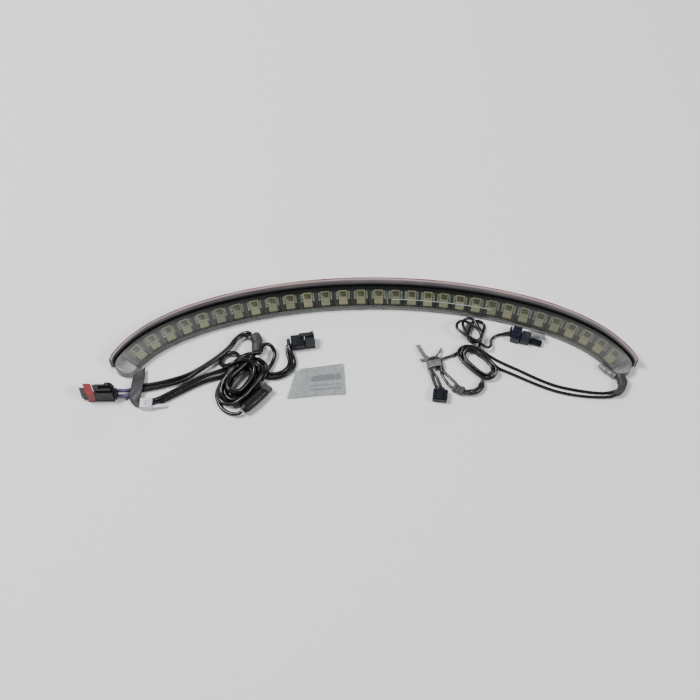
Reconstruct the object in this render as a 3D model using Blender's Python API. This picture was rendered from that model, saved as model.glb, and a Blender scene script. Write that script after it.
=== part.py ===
"""Flexible LED light bar: a curved, self-adhesive strip lamp with a wire harness at each end.

The bar lies flat on its rail. +X runs along it, +Y points to its adhesive outer side and +Z is up.
The scene is in metres; sizes below are millimetres times MM.
"""
import math

import bmesh
import bpy
from mathutils import Matrix, Vector

MM = 0.001
GAP = 0.3 * MM                      # clearance between pieces that touch
FLOOR = 0.05 * MM                   # lowest point of every loose piece

# The bar's middle line: its heading turns with the distance from the middle
TURN_SPAN = 100 * MM
TURN_LINEAR = 0.44
TURN_CUBIC = 0.075
TURN_SEVENTH = 0.306
APEX_Y = 14.987 * MM                 # the middle line's highest y
HALF_LENGTH = 106.45 * MM           # middle line up to the centre of each round end
SEGMENTS = 39                       # odd, so that one facet is centred on x = 0
END_CROWDING = 0.18                 # stations lie closer together towards the ends

# Lens cover
LENS_CENTRE = -0.2 * MM             # across the bar, positive outwards
LENS_HALF_WIDTH = 4.6 * MM
LENS_HEIGHT = 4.2 * MM
LENS_FILLET = 1.1 * MM
LENS_SIDE_WALL = 0.8 * MM
LENS_ROOF = 1.0 * MM
LOBE_STEPS = 9
CAVITY_LEFT_END = -104.4 * MM
CAVITY_RIGHT_END = 106.2 * MM
END_CLEARANCE = 1.1 * MM            # from each end of the hollow to the boards

# Carrier rail, boards and lamps, stacked upwards from the surface
RAIL_THICKNESS = 0.7 * MM
RAIL_INNER = -3.6 * MM
FLANGE_INNER = 4.7 * MM
FLANGE_OUTER = 5.1 * MM
FLANGE_HEIGHT = 4.7 * MM
FLANGE_WRAP = 0.5                   # radians that flange and tape go round each end
ADHESIVE_LEVELS = (0.9 * MM, 1.0 * MM)
BOARD_LEVELS = (1.2 * MM, 1.7 * MM)
BOARD_SIDES = (-3.6 * MM, 3.4 * MM)
BOARD_JOINT = 5.85 * MM
LAMP_LEVELS = (1.9 * MM, 2.9 * MM)
LAMP_SIDES = (-3.5 * MM, 3.3 * MM)
LAMP_LENGTH = 3.6 * MM
LAMPS_PER_BOARD = 15
LEFT_FIRST_LAMP = -99.4 * MM
LEFT_PITCH = 7.27 * MM
RIGHT_FIRST_LAMP = 9.32 * MM
RIGHT_PITCH = 6.61 * MM
WINDOW_CENTRE = 1.55 * MM
WINDOW_HALF = (1.2 * MM, 1.25 * MM)
WINDOW_DEPTH = 0.3 * MM
WEB_SIDES = (-3.5 * MM, -2.7 * MM)  # thin strip that carries a row of lamps
WEB_LEVELS = (1.9 * MM, 2.15 * MM)
PAD_SIDES = (-2.4 * MM, 3.1 * MM)
PAD_LENGTH = 0.9 * MM
PAD_TOP = 2.2 * MM

# Foam tape and its release liner, on the outside of the flange
TAPE_SIDES = (5.35 * MM, 6.2 * MM)
LINER_SIDES = (6.42 * MM, 6.55 * MM)
TAPE_TOP = 7.15 * MM
TAPE_END_TOP = 5.6 * MM
TAPE_BOTTOM = 0.1 * MM

# Wires
LEFT_WIRE = 0.8 * MM                # radius
RIGHT_WIRE = 0.6 * MM
JACKET = 1.3 * MM
ROUTE_STEP = 2.6                    # spacing of a tube's points, in diameters


def clear_scene():
    for item in list(bpy.data.objects):
        bpy.data.objects.remove(item, do_unlink=True)


def make_material(name, color, roughness, metallic=0.0, alpha=1.0):
    material = bpy.data.materials.new(name)
    material.use_nodes = True
    shader = material.node_tree.nodes["Principled BSDF"]
    shader.inputs["Base Color"].default_value = (*color, 1.0)
    shader.inputs["Roughness"].default_value = roughness
    shader.inputs["Metallic"].default_value = metallic
    shader.inputs["Alpha"].default_value = alpha
    material.diffuse_color = (*color, alpha)
    return material


def add_object(name, data, material):
    item = bpy.data.objects.new(name, data)
    bpy.context.collection.objects.link(item)
    data.materials.append(material)
    return item


def add_mesh(name, shell, material, smooth_angle=None):
    """Turn a bmesh into an object, with its faces pointing out."""
    bmesh.ops.recalc_face_normals(shell, faces=shell.faces)
    mesh = bpy.data.meshes.new(name)
    shell.to_mesh(mesh)
    shell.free()
    if smooth_angle is not None:
        mesh.shade_smooth()
        mesh.set_sharp_from_angle(angle=math.radians(smooth_angle))
    return add_object(name, mesh, material)


def cut(item, cutter, operation="DIFFERENCE"):
    """Boolean one object with another, which then stays as a hidden guide."""
    modifier = item.modifiers.new(operation.title(), "BOOLEAN")
    modifier.operation = operation
    modifier.solver = "EXACT"
    modifier.object = cutter
    cutter.hide_render = True
    cutter.display_type = "WIRE"


# ---------------------------------------------------------------- the bar's curve

def heading(s):
    w = s / TURN_SPAN
    return TURN_LINEAR * w + TURN_CUBIC * w**3 + TURN_SEVENTH * w**7


def middle_point(s, steps=80):
    x = y = 0.0
    for i in range(steps):
        angle = heading((i + 0.5) / steps * s)
        x += math.cos(angle) * s / steps
        y -= math.sin(angle) * s / steps
    return Vector((x, APEX_Y + y, 0.0))


def outward(angle):
    return Vector((math.sin(angle), math.cos(angle), 0.0))


def bar_point(s, across, up):
    """A point by its distance along, across and above the bar; past the ends it goes round them."""
    inner_s = max(-HALF_LENGTH, min(HALF_LENGTH, s))
    angle = heading(inner_s)
    centre = middle_point(inner_s) + outward(angle) * LENS_CENTRE
    turn = (s - inner_s) / LENS_HALF_WIDTH
    return centre + outward(angle + turn) * (across - LENS_CENTRE) + Vector((0, 0, up))


def bar_matrix(s, across, up):
    """Placement of a small box on the bar: its x runs along and its y across the bar."""
    place = middle_point(s) + outward(heading(s)) * across
    place.z = up
    return Matrix.Translation(place) @ Matrix.Rotation(-heading(s), 4, "Z")


def stations(start=-HALF_LENGTH, end=HALF_LENGTH, wrap=0.0, wrap_steps=0):
    """Distances along the bar at which a section is drawn."""
    inside = []
    for i in range(SEGMENTS + 1):
        t = 2 * i / SEGMENTS - 1
        inside.append(HALF_LENGTH * t * (1 + END_CROWDING * (1 - t * t)))
    margin = 0.8 * MM
    kept = [s for s in inside if start + margin < s < end - margin]
    tail = [LENS_HALF_WIDTH * wrap * (i + 1) / wrap_steps for i in range(wrap_steps)]
    before = [start - t for t in reversed(tail)]
    return before + [start] + kept + [end] + [end + t for t in tail]


# ---------------------------------------------------------------- mesh builders

def loft(rings, shell=None):
    """Skin a list of equally long rings of points into a closed solid, added to a shell."""
    shell = shell or bmesh.new()
    loops = [[shell.verts.new(point) for point in ring] for ring in rings]
    size = len(loops[0])
    for first, second in zip(loops, loops[1:]):
        for i in range(size):
            j = (i + 1) % size
            shell.faces.new((first[i], first[j], second[j], second[i]))
    shell.faces.new(loops[0])
    shell.faces.new(loops[-1])
    return shell


def sweep(name, along, section, material):
    """Sweep a section, a function of s that gives (across, up) pairs, along the bar."""
    rings = [[bar_point(s, across, up) for across, up in section(s)] for s in along]
    return add_mesh(name, loft(rings), material, smooth_angle=30)


def rectangle(sides, levels):
    (low, high), (bottom, top) = sides, levels
    return [(low, bottom), (high, bottom), (high, top), (low, top)]


def prism(name, outline, bottom, top, material, smooth_angle=None):
    """Extrude a plan outline upwards."""
    rings = [[Vector((x, y, z)) for x, y in outline] for z in (bottom, top)]
    return add_mesh(name, loft(rings), material, smooth_angle)


def add_box(shell, matrix, size, bevel=0.0):
    """Add a box of the given size, centred on the matrix, to a shell."""
    scale = Matrix.Diagonal((*size, 1.0))
    made = bmesh.ops.create_cube(shell, size=1.0, matrix=matrix @ scale)
    if bevel:
        edges = {edge for vert in made["verts"] for edge in vert.link_edges}
        bmesh.ops.bevel(shell, geom=list(edges), offset=bevel, segments=1, affect="EDGES")


def block(name, low, high, material, place=Matrix(), bevel=0.0):
    """A box from its lowest to its highest corner (millimetres), in a placed frame."""
    low, high = Vector(low) * MM, Vector(high) * MM
    shell = bmesh.new()
    add_box(shell, place @ Matrix.Translation((low + high) / 2), high - low, bevel)
    return add_mesh(name, shell, material)


def placed(x, y, yaw_degrees=0.0):
    """Frame of a connector that lies on the surface, from millimetres and degrees."""
    return Matrix.Translation((x * MM, y * MM, 0.0)) @ Matrix.Rotation(math.radians(yaw_degrees), 4, "Z")


def tapered_stadium(first, first_radius, second, second_radius, steps=7):
    """Outline round two circles: the shape of a hank seen from above."""
    start, end = Vector(first) * MM, Vector(second) * MM
    axis = end - start
    facing = math.atan2(axis.y, axis.x)
    lean = math.acos((first_radius - second_radius) * MM / axis.length)
    outline = []
    for i in range(steps + 1):
        angle = facing + lean + (2 * math.pi - 2 * lean) * i / steps
        outline.append((start.x + first_radius * MM * math.cos(angle),
                        start.y + first_radius * MM * math.sin(angle)))
    for i in range(steps + 1):
        angle = facing - lean + 2 * lean * i / steps
        outline.append((end.x + second_radius * MM * math.cos(angle),
                        end.y + second_radius * MM * math.sin(angle)))
    return outline


def smooth_route(points, spacing):
    """Evenly spaced points on a smooth curve through the route's points (millimetres)."""
    knots = [Vector(point) * MM for point in points]
    knots = [2 * knots[0] - knots[1]] + knots + [2 * knots[-1] - knots[-2]]
    fine = []
    steps = 24
    for a, b, c, d in zip(knots, knots[1:], knots[2:], knots[3:]):
        for i in range(steps):
            t = i / steps
            fine.append(0.5 * (2 * b + (c - a) * t + (2 * a - 5 * b + 4 * c - d) * t * t
                               + (3 * b - a - 3 * c + d) * t ** 3))
    fine.append(knots[-2])
    lengths = [0.0]
    for a, b in zip(fine, fine[1:]):
        lengths.append(lengths[-1] + (b - a).length)
    count = max(3, round(lengths[-1] / spacing))
    spaced = []
    k = 0
    for i in range(count + 1):
        target = lengths[-1] * i / count
        while k < len(lengths) - 2 and lengths[k + 1] < target:
            k += 1
        share = (target - lengths[k]) / (lengths[k + 1] - lengths[k])
        spaced.append(fine[k].lerp(fine[k + 1], share))
    return spaced


def tube(name, points, radius, material, resolution=2):
    """A round tube with filled ends along a route (millimetres)."""
    curve = bpy.data.curves.new(name, "CURVE")
    curve.dimensions = "3D"
    curve.bevel_depth = radius
    curve.bevel_resolution = resolution
    curve.use_fill_caps = True
    route = smooth_route(points, ROUTE_STEP * 2 * radius)
    spline = curve.splines.new("POLY")
    spline.points.add(len(route) - 1)
    for point, place in zip(spline.points, route):
        point.co = (*place, 1.0)
    spline.use_smooth = True
    return add_object(name, curve, material)


def rod(name, points, radius, material, sides=8):
    """A mesh tube, which unlike a curve can be joined to another solid."""
    route = smooth_route(points, ROUTE_STEP * 2 * radius)
    rings = []
    for i, place in enumerate(route):
        along = (route[min(i + 1, len(route) - 1)] - route[max(i - 1, 0)]).normalized()
        aside = along.cross(Vector((0, 0, 1))).normalized()
        above = aside.cross(along)
        angles = [2 * math.pi * k / sides for k in range(sides)]
        rings.append([place + radius * (math.cos(a) * aside + math.sin(a) * above) for a in angles])
    return add_mesh(name, loft(rings), material, smooth_angle=40)


def ribbon(name, edges, thickness, material):
    """A flat band: each station gives its left and right edge (x, y) and its middle height."""
    rings = []
    for left, right, height in edges:
        ring = []
        for (x, y), side in ((left, -1), (right, -1), (right, 1), (left, 1)):
            ring.append(Vector((x, y, height + side * thickness / 2)) * MM)
        rings.append(ring)
    return add_mesh(name, loft(rings), material, smooth_angle=40)


# ---------------------------------------------------------------- the bar

def lens_outline(inset):
    """Plan outline of the lens: outer side, right end, inner side, left end."""
    along = stations()
    half = LENS_HALF_WIDTH - inset
    outline = [bar_point(s, LENS_CENTRE + half, 0) for s in along]
    outline += [lobe_point(1, half, i) for i in range(1, LOBE_STEPS)]
    outline += [bar_point(s, LENS_CENTRE - half, 0) for s in reversed(along)]
    outline += [lobe_point(-1, half, i) for i in range(1, LOBE_STEPS)]
    return outline


def lobe_point(side, radius, step):
    """A point on the round end; side is 1 at the right end and -1 at the left."""
    start = side * HALF_LENGTH
    centre = middle_point(start) + outward(heading(start)) * LENS_CENTRE
    begin = heading(start) if side > 0 else heading(start) + math.pi
    return centre + outward(begin + math.pi * step / LOBE_STEPS) * radius


def lens_shell():
    """Stack the plan outline into a closed solid with a rounded upper edge."""
    levels = [(0.0, 0.0), (LENS_HEIGHT - LENS_FILLET, 0.0)]
    for degrees in (30, 60, 90):
        angle = math.radians(degrees)
        drop = LENS_FILLET * (1 - math.sin(angle))
        inset = LENS_FILLET * (1 - math.cos(angle))
        levels.append((LENS_HEIGHT - drop, inset))
    shell = bmesh.new()
    loops = []
    for up, inset in levels:
        loops.append([shell.verts.new(point + Vector((0, 0, up))) for point in lens_outline(inset)])
    size = len(loops[0])
    for lower, upper in zip(loops, loops[1:]):
        for i in range(size):
            j = (i + 1) % size
            shell.faces.new((lower[i], lower[j], upper[j], upper[i]))
    count = len(stations())
    inner_start = count + LOBE_STEPS - 1
    for loop in (loops[0], loops[-1]):
        inner = loop[inner_start:inner_start + count][::-1]
        for i in range(count - 1):
            shell.faces.new((loop[i], loop[i + 1], inner[i + 1], inner[i]))
        shell.faces.new(loop[count - 1:inner_start + 1])
        shell.faces.new(loop[inner_start + count - 1:] + [loop[0]])
    return shell


def make_lens(material):
    lens = add_mesh("lens_cover", lens_shell(), material, smooth_angle=35)
    sides = (LENS_CENTRE - LENS_HALF_WIDTH + LENS_SIDE_WALL, LENS_CENTRE + LENS_HALF_WIDTH - LENS_SIDE_WALL)
    roof = LENS_HEIGHT - LENS_ROOF
    foot_top = RAIL_THICKNESS + 0.25 * MM
    beyond = 2 * MM
    section = [(sides[0], -beyond), (sides[1] + beyond, -beyond), (sides[1] + beyond, foot_top),
               (sides[1], foot_top), (sides[1], roof), (sides[0], roof)]
    along = stations(CAVITY_LEFT_END, CAVITY_RIGHT_END)
    cutter = sweep("lens_hollow", along, lambda s: section, material)
    cut(lens, cutter)
    return lens


def make_rail(material):
    flange = sweep("carrier_rail", stations(wrap=FLANGE_WRAP, wrap_steps=3),
                   lambda s: rectangle((FLANGE_INNER, FLANGE_OUTER), (0.0, FLANGE_HEIGHT)), material)
    foot_sides = (RAIL_INNER, (FLANGE_INNER + FLANGE_OUTER) / 2)
    along = stations(CAVITY_LEFT_END + GAP, CAVITY_RIGHT_END - GAP)
    foot = sweep("rail_foot", along, lambda s: rectangle(foot_sides, (0.0, RAIL_THICKNESS)), material)
    cut(flange, foot, "UNION")


def tape_top(s):
    """The tape is cut lower towards the ends of the bar."""
    share = min(1.0, abs(s) / HALF_LENGTH)
    return TAPE_TOP + (TAPE_END_TOP - TAPE_TOP) * share ** 4


def make_tape(foam, paper):
    along = stations(wrap=FLANGE_WRAP, wrap_steps=3)
    sweep("mounting_tape", along, lambda s: rectangle(TAPE_SIDES, (TAPE_BOTTOM, tape_top(s))), foam)
    sweep("release_liner", along, lambda s: rectangle(LINER_SIDES, (TAPE_BOTTOM, tape_top(s))), paper)


def lamp_places():
    left = [LEFT_FIRST_LAMP + LEFT_PITCH * i for i in range(LAMPS_PER_BOARD)]
    right = [RIGHT_FIRST_LAMP + RIGHT_PITCH * i for i in range(LAMPS_PER_BOARD)]
    return left, right


def make_boards(board, adhesive, silicone):
    left_end = CAVITY_LEFT_END + END_CLEARANCE
    right_end = CAVITY_RIGHT_END - END_CLEARANCE
    left, right = lamp_places()
    board_section = rectangle(BOARD_SIDES, BOARD_LEVELS)
    for side, start, end, row in (("left", left_end, BOARD_JOINT - GAP / 2, left),
                                  ("right", BOARD_JOINT + GAP / 2, right_end, right)):
        plate = sweep(side + "_circuit_board", stations(start, end), lambda s: board_section, board)
        cut(plate, solder_pads(side + "_solder_pads", row, board), "UNION")
    sticky_section = rectangle(BOARD_SIDES, ADHESIVE_LEVELS)
    sweep("board_adhesive", stations(left_end, right_end), lambda s: sticky_section, adhesive)
    potting_section = rectangle(BOARD_SIDES, (ADHESIVE_LEVELS[0], LAMP_LEVELS[1]))
    for name, start, end in (("left_end_potting", CAVITY_LEFT_END + GAP, left_end - GAP),
                             ("right_end_potting", right_end + GAP, CAVITY_RIGHT_END - GAP)):
        rings = [[bar_point(s, across, up) for across, up in potting_section] for s in (start, end)]
        add_mesh(name, loft(rings), silicone)


def solder_pads(name, row, material):
    """Raised pads on both sides of every lamp, reaching down into the board."""
    bottom = (BOARD_LEVELS[0] + BOARD_LEVELS[1]) / 2
    across = sum(PAD_SIDES) / 2
    size = (PAD_LENGTH, PAD_SIDES[1] - PAD_SIDES[0], PAD_TOP - bottom)
    offset = (LAMP_LENGTH + PAD_LENGTH) / 2 + GAP
    shell = bmesh.new()
    for s in row:
        for side in (-1, 1):
            place = bar_matrix(s, across, (bottom + PAD_TOP) / 2)
            add_box(shell, place @ Matrix.Translation((side * offset, 0, 0)), size)
    return add_mesh(name, shell, material)


def add_pocketed_lamp(shell, s):
    """One lamp housing: a box with a shallow window pocket in its top."""
    bottom, top = LAMP_LEVELS
    low, high = LAMP_SIDES
    half = LAMP_LENGTH / 2
    window_x, window_y = WINDOW_HALF
    outer = [(-half, low), (half, low), (half, high), (-half, high)]
    inner = [(x, WINDOW_CENTRE + y) for x, y in ((-window_x, -window_y), (window_x, -window_y),
                                                 (window_x, window_y), (-window_x, window_y))]
    place = bar_matrix(s, 0, 0)
    rings = [(outer, bottom), (outer, top), (inner, top), (inner, top - WINDOW_DEPTH)]
    loft([[place @ Vector((x, y, z)) for x, y in ring] for ring, z in rings], shell)


def make_lamps(housing):
    """Two rows of lamps, each row on its own carrier strip."""
    for side, row in zip(("left", "right"), lamp_places()):
        shell = bmesh.new()
        for s in row:
            add_pocketed_lamp(shell, s)
        lamps = add_mesh(side + "_lamps", shell, housing)
        inset = LAMP_LENGTH / 4
        along = stations(row[0] - inset, row[-1] + inset)
        web = sweep(side + "_led_row", along, lambda s: rectangle(WEB_SIDES, WEB_LEVELS), housing)
        cut(web, lamps, "UNION")


# ---------------------------------------------------------------- left harness

LEFT_STRAP = [
    ((-95.3, -22.0), (-90.6, -17.6), 1.6),
    ((-95.4, -24.2), (-90.4, -22.2), 1.9),
    ((-95.5, -26.0), (-90.6, -25.1), 2.35),
    ((-95.6, -28.6), (-90.9, -27.9), 2.5),
    ((-95.7, -30.6), (-91.1, -29.8), 2.3),
    ((-95.4, -32.6), (-91.3, -31.3), 1.4),
    ((-94.0, -34.4), (-91.5, -32.1), 1.2),
    ((-92.4, -35.2), (-91.7, -32.4), 1.2),
]
LEFT_FEED_A = [(-49.3, -2.4, 2.0), (-51.0, -1.5, 1.4), (-53.2, -2.1, 0.9), (-55.7, -4.5, 0.86),
               (-58.0, -8.0, 0.86), (-62.3, -12.4, 0.86), (-69.8, -18.3, 0.86), (-75.5, -21.4, 0.86),
               (-83.6, -24.0, 0.86), (-91.2, -25.7, 0.86), (-94.6, -26.9, 0.9), (-96.6, -28.0, 1.5),
               (-98.2, -28.7, 2.5), (-99.9, -29.1, 3.1)]
LEFT_FEED_B = [(-50.2, -4.0, 2.2), (-51.6, -3.2, 2.4), (-53.1, -3.6, 2.4), (-54.9, -5.2, 2.35),
               (-57.1, -8.8, 2.3), (-61.6, -13.3, 2.3), (-69.2, -19.6, 2.0), (-75.1, -23.3, 1.2),
               (-83.5, -26.0, 0.86), (-90.8, -27.7, 0.86), (-94.4, -29.0, 0.9), (-96.7, -30.1, 1.2),
               (-98.4, -30.8, 2.0), (-99.9, -31.1, 2.5)]
LEFT_LEAD_A = [(-85.9, -32.3, 1.6), (-84.0, -31.2, 1.0), (-80.5, -28.9, 0.86), (-72.5, -24.3, 0.86),
               (-66.1, -20.8, 0.86), (-61.0, -18.7, 0.86), (-57.4, -17.6, 0.86)]
LEFT_LEAD_B = [(-85.9, -34.1, 1.6), (-83.4, -33.0, 1.0), (-79.6, -30.9, 0.86), (-74.0, -27.6, 0.86),
               (-68.0, -24.3, 0.86), (-63.4, -22.3, 0.86), (-59.8, -21.5, 0.86)]
LEFT_OUT_A = [(-41.0, -20.6, 0.9), (-38.2, -20.6, 0.86), (-36.0, -19.8, 0.86), (-34.1, -18.2, 0.86),
              (-32.7, -16.4, 0.86), (-32.9, -14.6, 0.86), (-34.1, -12.0, 0.9), (-34.8, -9.3, 1.0)]
LEFT_OUT_B = [(-41.4, -22.9, 0.9), (-38.5, -22.5, 0.86), (-35.6, -21.5, 0.86), (-33.4, -20.2, 0.86),
              (-31.6, -18.0, 0.86), (-30.4, -15.9, 0.9), (-31.4, -13.6, 1.5), (-32.9, -11.4, 2.3),
              (-33.5, -9.3, 2.8)]
LINK_RIGHT = [(-42.7, -13.6, 4.7), (-43.1, -11.3, 5.0), (-42.6, -9.1, 4.7), (-41.4, -8.3, 3.5),
              (-40.4, -9.5, 2.3), (-40.0, -12.0, 1.5), (-40.2, -14.6, 1.1), (-41.0, -16.9, 1.0)]
LINK_LEFT = [(-54.5, -12.6, 2.4), (-56.9, -11.7, 1.6), (-59.3, -12.4, 0.95), (-60.6, -14.4, 0.86),
             (-59.9, -16.2, 0.86), (-58.1, -16.1, 0.9), (-56.7, -15.5, 1.1)]
LINK_TAIL = [(-60.0, -35.4, 1.2), (-58.4, -37.0, 1.0), (-55.8, -38.4, 1.0), (-53.6, -38.7, 1.4),
             (-52.3, -38.3, 2.0)]
GRAY_SPLICE = [(-48.2, -3.3, 2.3), (-47.1, -4.6, 2.3), (-46.5, -7.4, 2.3), (-46.5, -11.1, 2.3)]
BLACK_SPLICE = [(-41.4, -26.6, 2.35), (-43.7, -29.4, 2.35), (-47.5, -33.5, 2.35), (-51.2, -37.0, 2.35)]
TIE_TAIL = [((-87.0, -35.1), (-87.0, -35.9), 0.8), ((-83.5, -35.0), (-83.5, -35.8), 0.7),
            ((-81.2, -34.7), (-81.2, -35.4), 0.7)]


def make_left_harness(paint):
    ribbon("left_lead_sleeve", LEFT_STRAP, 0.7, paint["gray_sleeve"])
    nylon = paint["white_nylon"]
    head = block("left_cable_tie", (-91.4, -36.0, 0.1), (-86.6, -31.8, 3.0), nylon, bevel=0.5 * MM)
    tail = ribbon("left_tie_tail", TIE_TAIL, 0.5, nylon)
    cut(head, tail, "UNION")
    tube("left_feed_a", LEFT_FEED_A, LEFT_WIRE, paint["violet_wire"])
    tube("left_feed_b", LEFT_FEED_B, LEFT_WIRE, paint["violet_wire"])
    tube("left_lead_a", LEFT_LEAD_A, LEFT_WIRE, paint["black_wire"])
    tube("left_lead_b", LEFT_LEAD_B, LEFT_WIRE, paint["black_wire"])
    tube("left_out_a", LEFT_OUT_A, LEFT_WIRE, paint["black_wire"])
    tube("left_out_b", LEFT_OUT_B, LEFT_WIRE, paint["black_wire"])
    tube("left_link_right", LINK_RIGHT, LEFT_WIRE, paint["black_wire"])
    tube("left_link_left", LINK_LEFT, LEFT_WIRE, paint["black_wire"])
    tube("left_link_tail", LINK_TAIL, LEFT_WIRE, paint["black_wire"])
    outline = tapered_stadium((-48.9, -18.7), 7.1, (-56.2, -29.6), 5.7)
    prism("left_hank", outline, FLOOR, 5.4 * MM, paint["black_wire"], smooth_angle=40)
    tube("left_gray_splice", GRAY_SPLICE, 2.2 * MM, paint["gray_sleeve"])
    tube("left_black_splice", BLACK_SPLICE, 2.25 * MM, paint["black_sleeve"])


# Plug on the left feed: it stands on its narrow side, its mouth cut at a slant
PLUG_FRONT = (-32.3, -27.9)         # y of its front and back side
PLUG_TOP = 6.0
PLUG_SLANT = 0.42                   # how far x moves for each millimetre of y


def slanted(x_back, x_end, grow=0.0):
    """Plan outline whose left side is slanted and whose right side is square or slanted."""
    front, back = PLUG_FRONT[0] - grow, PLUG_FRONT[1] + grow
    shift = PLUG_SLANT * (back - front)
    left = [(x_back, back), (x_back + shift, front)]
    right = [(x_end + shift, front), (x_end, back)] if x_end < -105 else [(x_end, front), (x_end, back)]
    return [(x * MM, y * MM) for x, y in left + right]


def make_left_plug(paint):
    body = prism("left_plug_body", slanted(-110.4, -101.6), 0.1 * MM, PLUG_TOP * MM, paint["plug_gray"])
    ledge = block("plug_ledge", (-108.8, -29.6, 5.6), (-107.2, -28.3, 6.6), paint["plug_gray"])
    cut(body, ledge, "UNION")
    nose = prism("left_plug_nose", slanted(-115.4, -110.7, grow=-0.9), 1.0 * MM, 5.3 * MM, paint["nose_gray"])
    lock = prism("left_plug_lock", slanted(-113.8, -110.7, grow=0.2), 0.1 * MM, 6.5 * MM, paint["red_lock"])
    hole = prism("plug_lock_hole", slanted(-116.5, -108.5, grow=-0.6), 0.7 * MM, 5.6 * MM, paint["red_lock"])
    cut(lock, hole)
    for index, up in enumerate((2.1, 4.2)):
        low, high = (-117.0, -30.7, up - 0.5), (-112.6, -29.7, up + 0.5)
        cut(nose, block("plug_socket_%d" % index, low, high, paint["nose_gray"]))
        low, high = (-114.5, -30.45, up - 0.25), (-112.9, -29.95, up + 0.25)
        block("left_plug_contact_%d" % index, low, high, paint["contact"])
    lever = block("left_plug_latch", (-108.9, -31.3, 6.9), (-102.3, -28.4, 7.4), paint["plug_gray"])
    slot = block("plug_latch_slot", (-107.4, -30.5, 6.0), (-104.6, -29.2, 8.0), paint["plug_gray"])
    cut(lever, slot)
    arch = arch_shell("plug_latch_arch", (-103.6, 7.2), 1.25, 0.5, (-29.9, -28.4), paint["plug_gray"])
    cut(lever, arch, "UNION")
    block("left_plug_seal", (-101.3, -31.9, 0.6), (-100.5, -28.4, 5.0), paint["seal"], bevel=0.3 * MM)


def arch_shell(name, centre, radius, thickness, sides, material, steps=8):
    """A half ring standing on the latch, drawn in x and z and extruded along y."""
    outline = []
    for size, order in ((radius + thickness, range(steps + 1)), (radius, range(steps, -1, -1))):
        for i in order:
            angle = math.pi * i / steps
            outline.append((centre[0] + size * math.cos(angle), centre[1] + size * math.sin(angle)))
    rings = [[Vector((x, y, z)) * MM for x, z in outline] for y in sides]
    return add_mesh(name, loft(rings), material)


def make_left_socket(paint):
    """Socket on the left lead: a dark housing, a lighter shroud and a latch on its upper edge."""
    place = placed(-28.4, -6.3, 8)
    block("left_socket_body", (-4.6, -2.6, 0.1), (0.8, 2.6, 4.2), paint["navy"], place, bevel=0.3 * MM)
    shroud = block("left_socket_shroud", (1.1, -2.4, 0.2), (4.9, 2.4, 4.1), paint["socket_gray"], place)
    mouth = block("socket_mouth", (2.1, -1.6, 0.9), (6.0, 1.6, 3.4), paint["socket_gray"], place)
    cut(shroud, mouth)
    for index, across in enumerate((-0.8, 0.8)):
        low, high = (2.4, across - 0.25, 1.9), (4.4, across + 0.25, 2.4)
        block("left_socket_contact_%d" % index, low, high, paint["contact"], place)
    lever = block("left_socket_latch", (-1.2, 0.7, 4.9), (4.6, 2.3, 5.4), paint["socket_gray"], place)
    ridge = block("socket_latch_ridge", (3.6, 0.7, 5.1), (4.6, 2.3, 5.9), paint["socket_gray"], place)
    cut(lever, ridge, "UNION")
    block("left_socket_seal", (-6.3, -1.6, 0.3), (-4.9, 1.5, 3.9), paint["seal"], place, bevel=0.3 * MM)


LABEL = [
    ((-30.8, -18.9), (-34.1, -31.0), 0.45),
    ((-28.0, -17.8), (-29.6, -30.6), 0.75),
    ((-24.5, -17.2), (-25.0, -30.1), 0.5),
    ((-18.5, -16.2), (-18.4, -29.5), 0.35),
    ((-12.1, -15.4), (-11.2, -29.0), 0.6),
]


# ---------------------------------------------------------------- right harness

RIGHT_SLEEVE = [(97.5, -21.9, 1.95), (98.0, -24.6, 1.95), (97.5, -27.1, 1.9), (96.2, -28.9, 1.85)]
RIGHT_LEAD_A = [(94.0, -30.5, 1.0), (91.6, -30.7, 0.7), (83.0, -30.3, 0.66), (73.5, -28.5, 0.66),
                (65.7, -25.5, 0.66), (57.6, -21.5, 0.66), (52.4, -18.9, 0.8)]
RIGHT_LEAD_B = [(94.0, -28.6, 1.5), (91.2, -28.9, 0.8), (86.0, -28.6, 0.66), (73.9, -26.2, 0.66),
                (65.8, -22.9, 0.66), (58.2, -18.7, 0.9), (50.8, -14.9, 1.7)]
RIGHT_PIGTAIL = [(45.3, -9.9, 3.0), (46.3, -8.3, 2.2), (46.4, -6.4, 1.4), (47.6, -3.9, 0.8),
                 (49.9, -2.3, 0.66), (52.4, -1.9, 1.0), (54.4, -1.7, 1.5)]
RIGHT_OUT = [(32.1, -12.6, 0.8), (31.2, -12.4, 0.7), (29.5, -12.3, 0.7), (27.9, -13.3, 0.7),
             (26.4, -14.2, 0.8)]
JACKET_LOOP = [(42.7, -24.9, 1.4), (42.0, -26.8, 1.36), (40.0, -28.4, 1.36), (37.3, -28.9, 1.36)]
CORE_A = [(32.1, -24.1, 1.1), (30.9, -22.5, 0.75), (29.4, -20.7, 0.66), (27.9, -19.1, 0.66),
          (26.6, -17.8, 0.8)]
CORE_B = [(29.9, -25.8, 1.1), (29.0, -24.0, 0.75), (27.8, -22.0, 0.66), (26.9, -20.3, 0.66),
          (25.9, -18.9, 0.8)]
DROP_A = [(24.3, -19.0, 0.8), (24.9, -21.0, 0.66), (25.6, -23.2, 0.8), (26.3, -26.0, 1.4)]
DROP_B = [(22.9, -18.0, 0.8), (23.0, -20.4, 0.66), (23.6, -23.2, 0.8), (24.4, -25.8, 1.4)]


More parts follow.
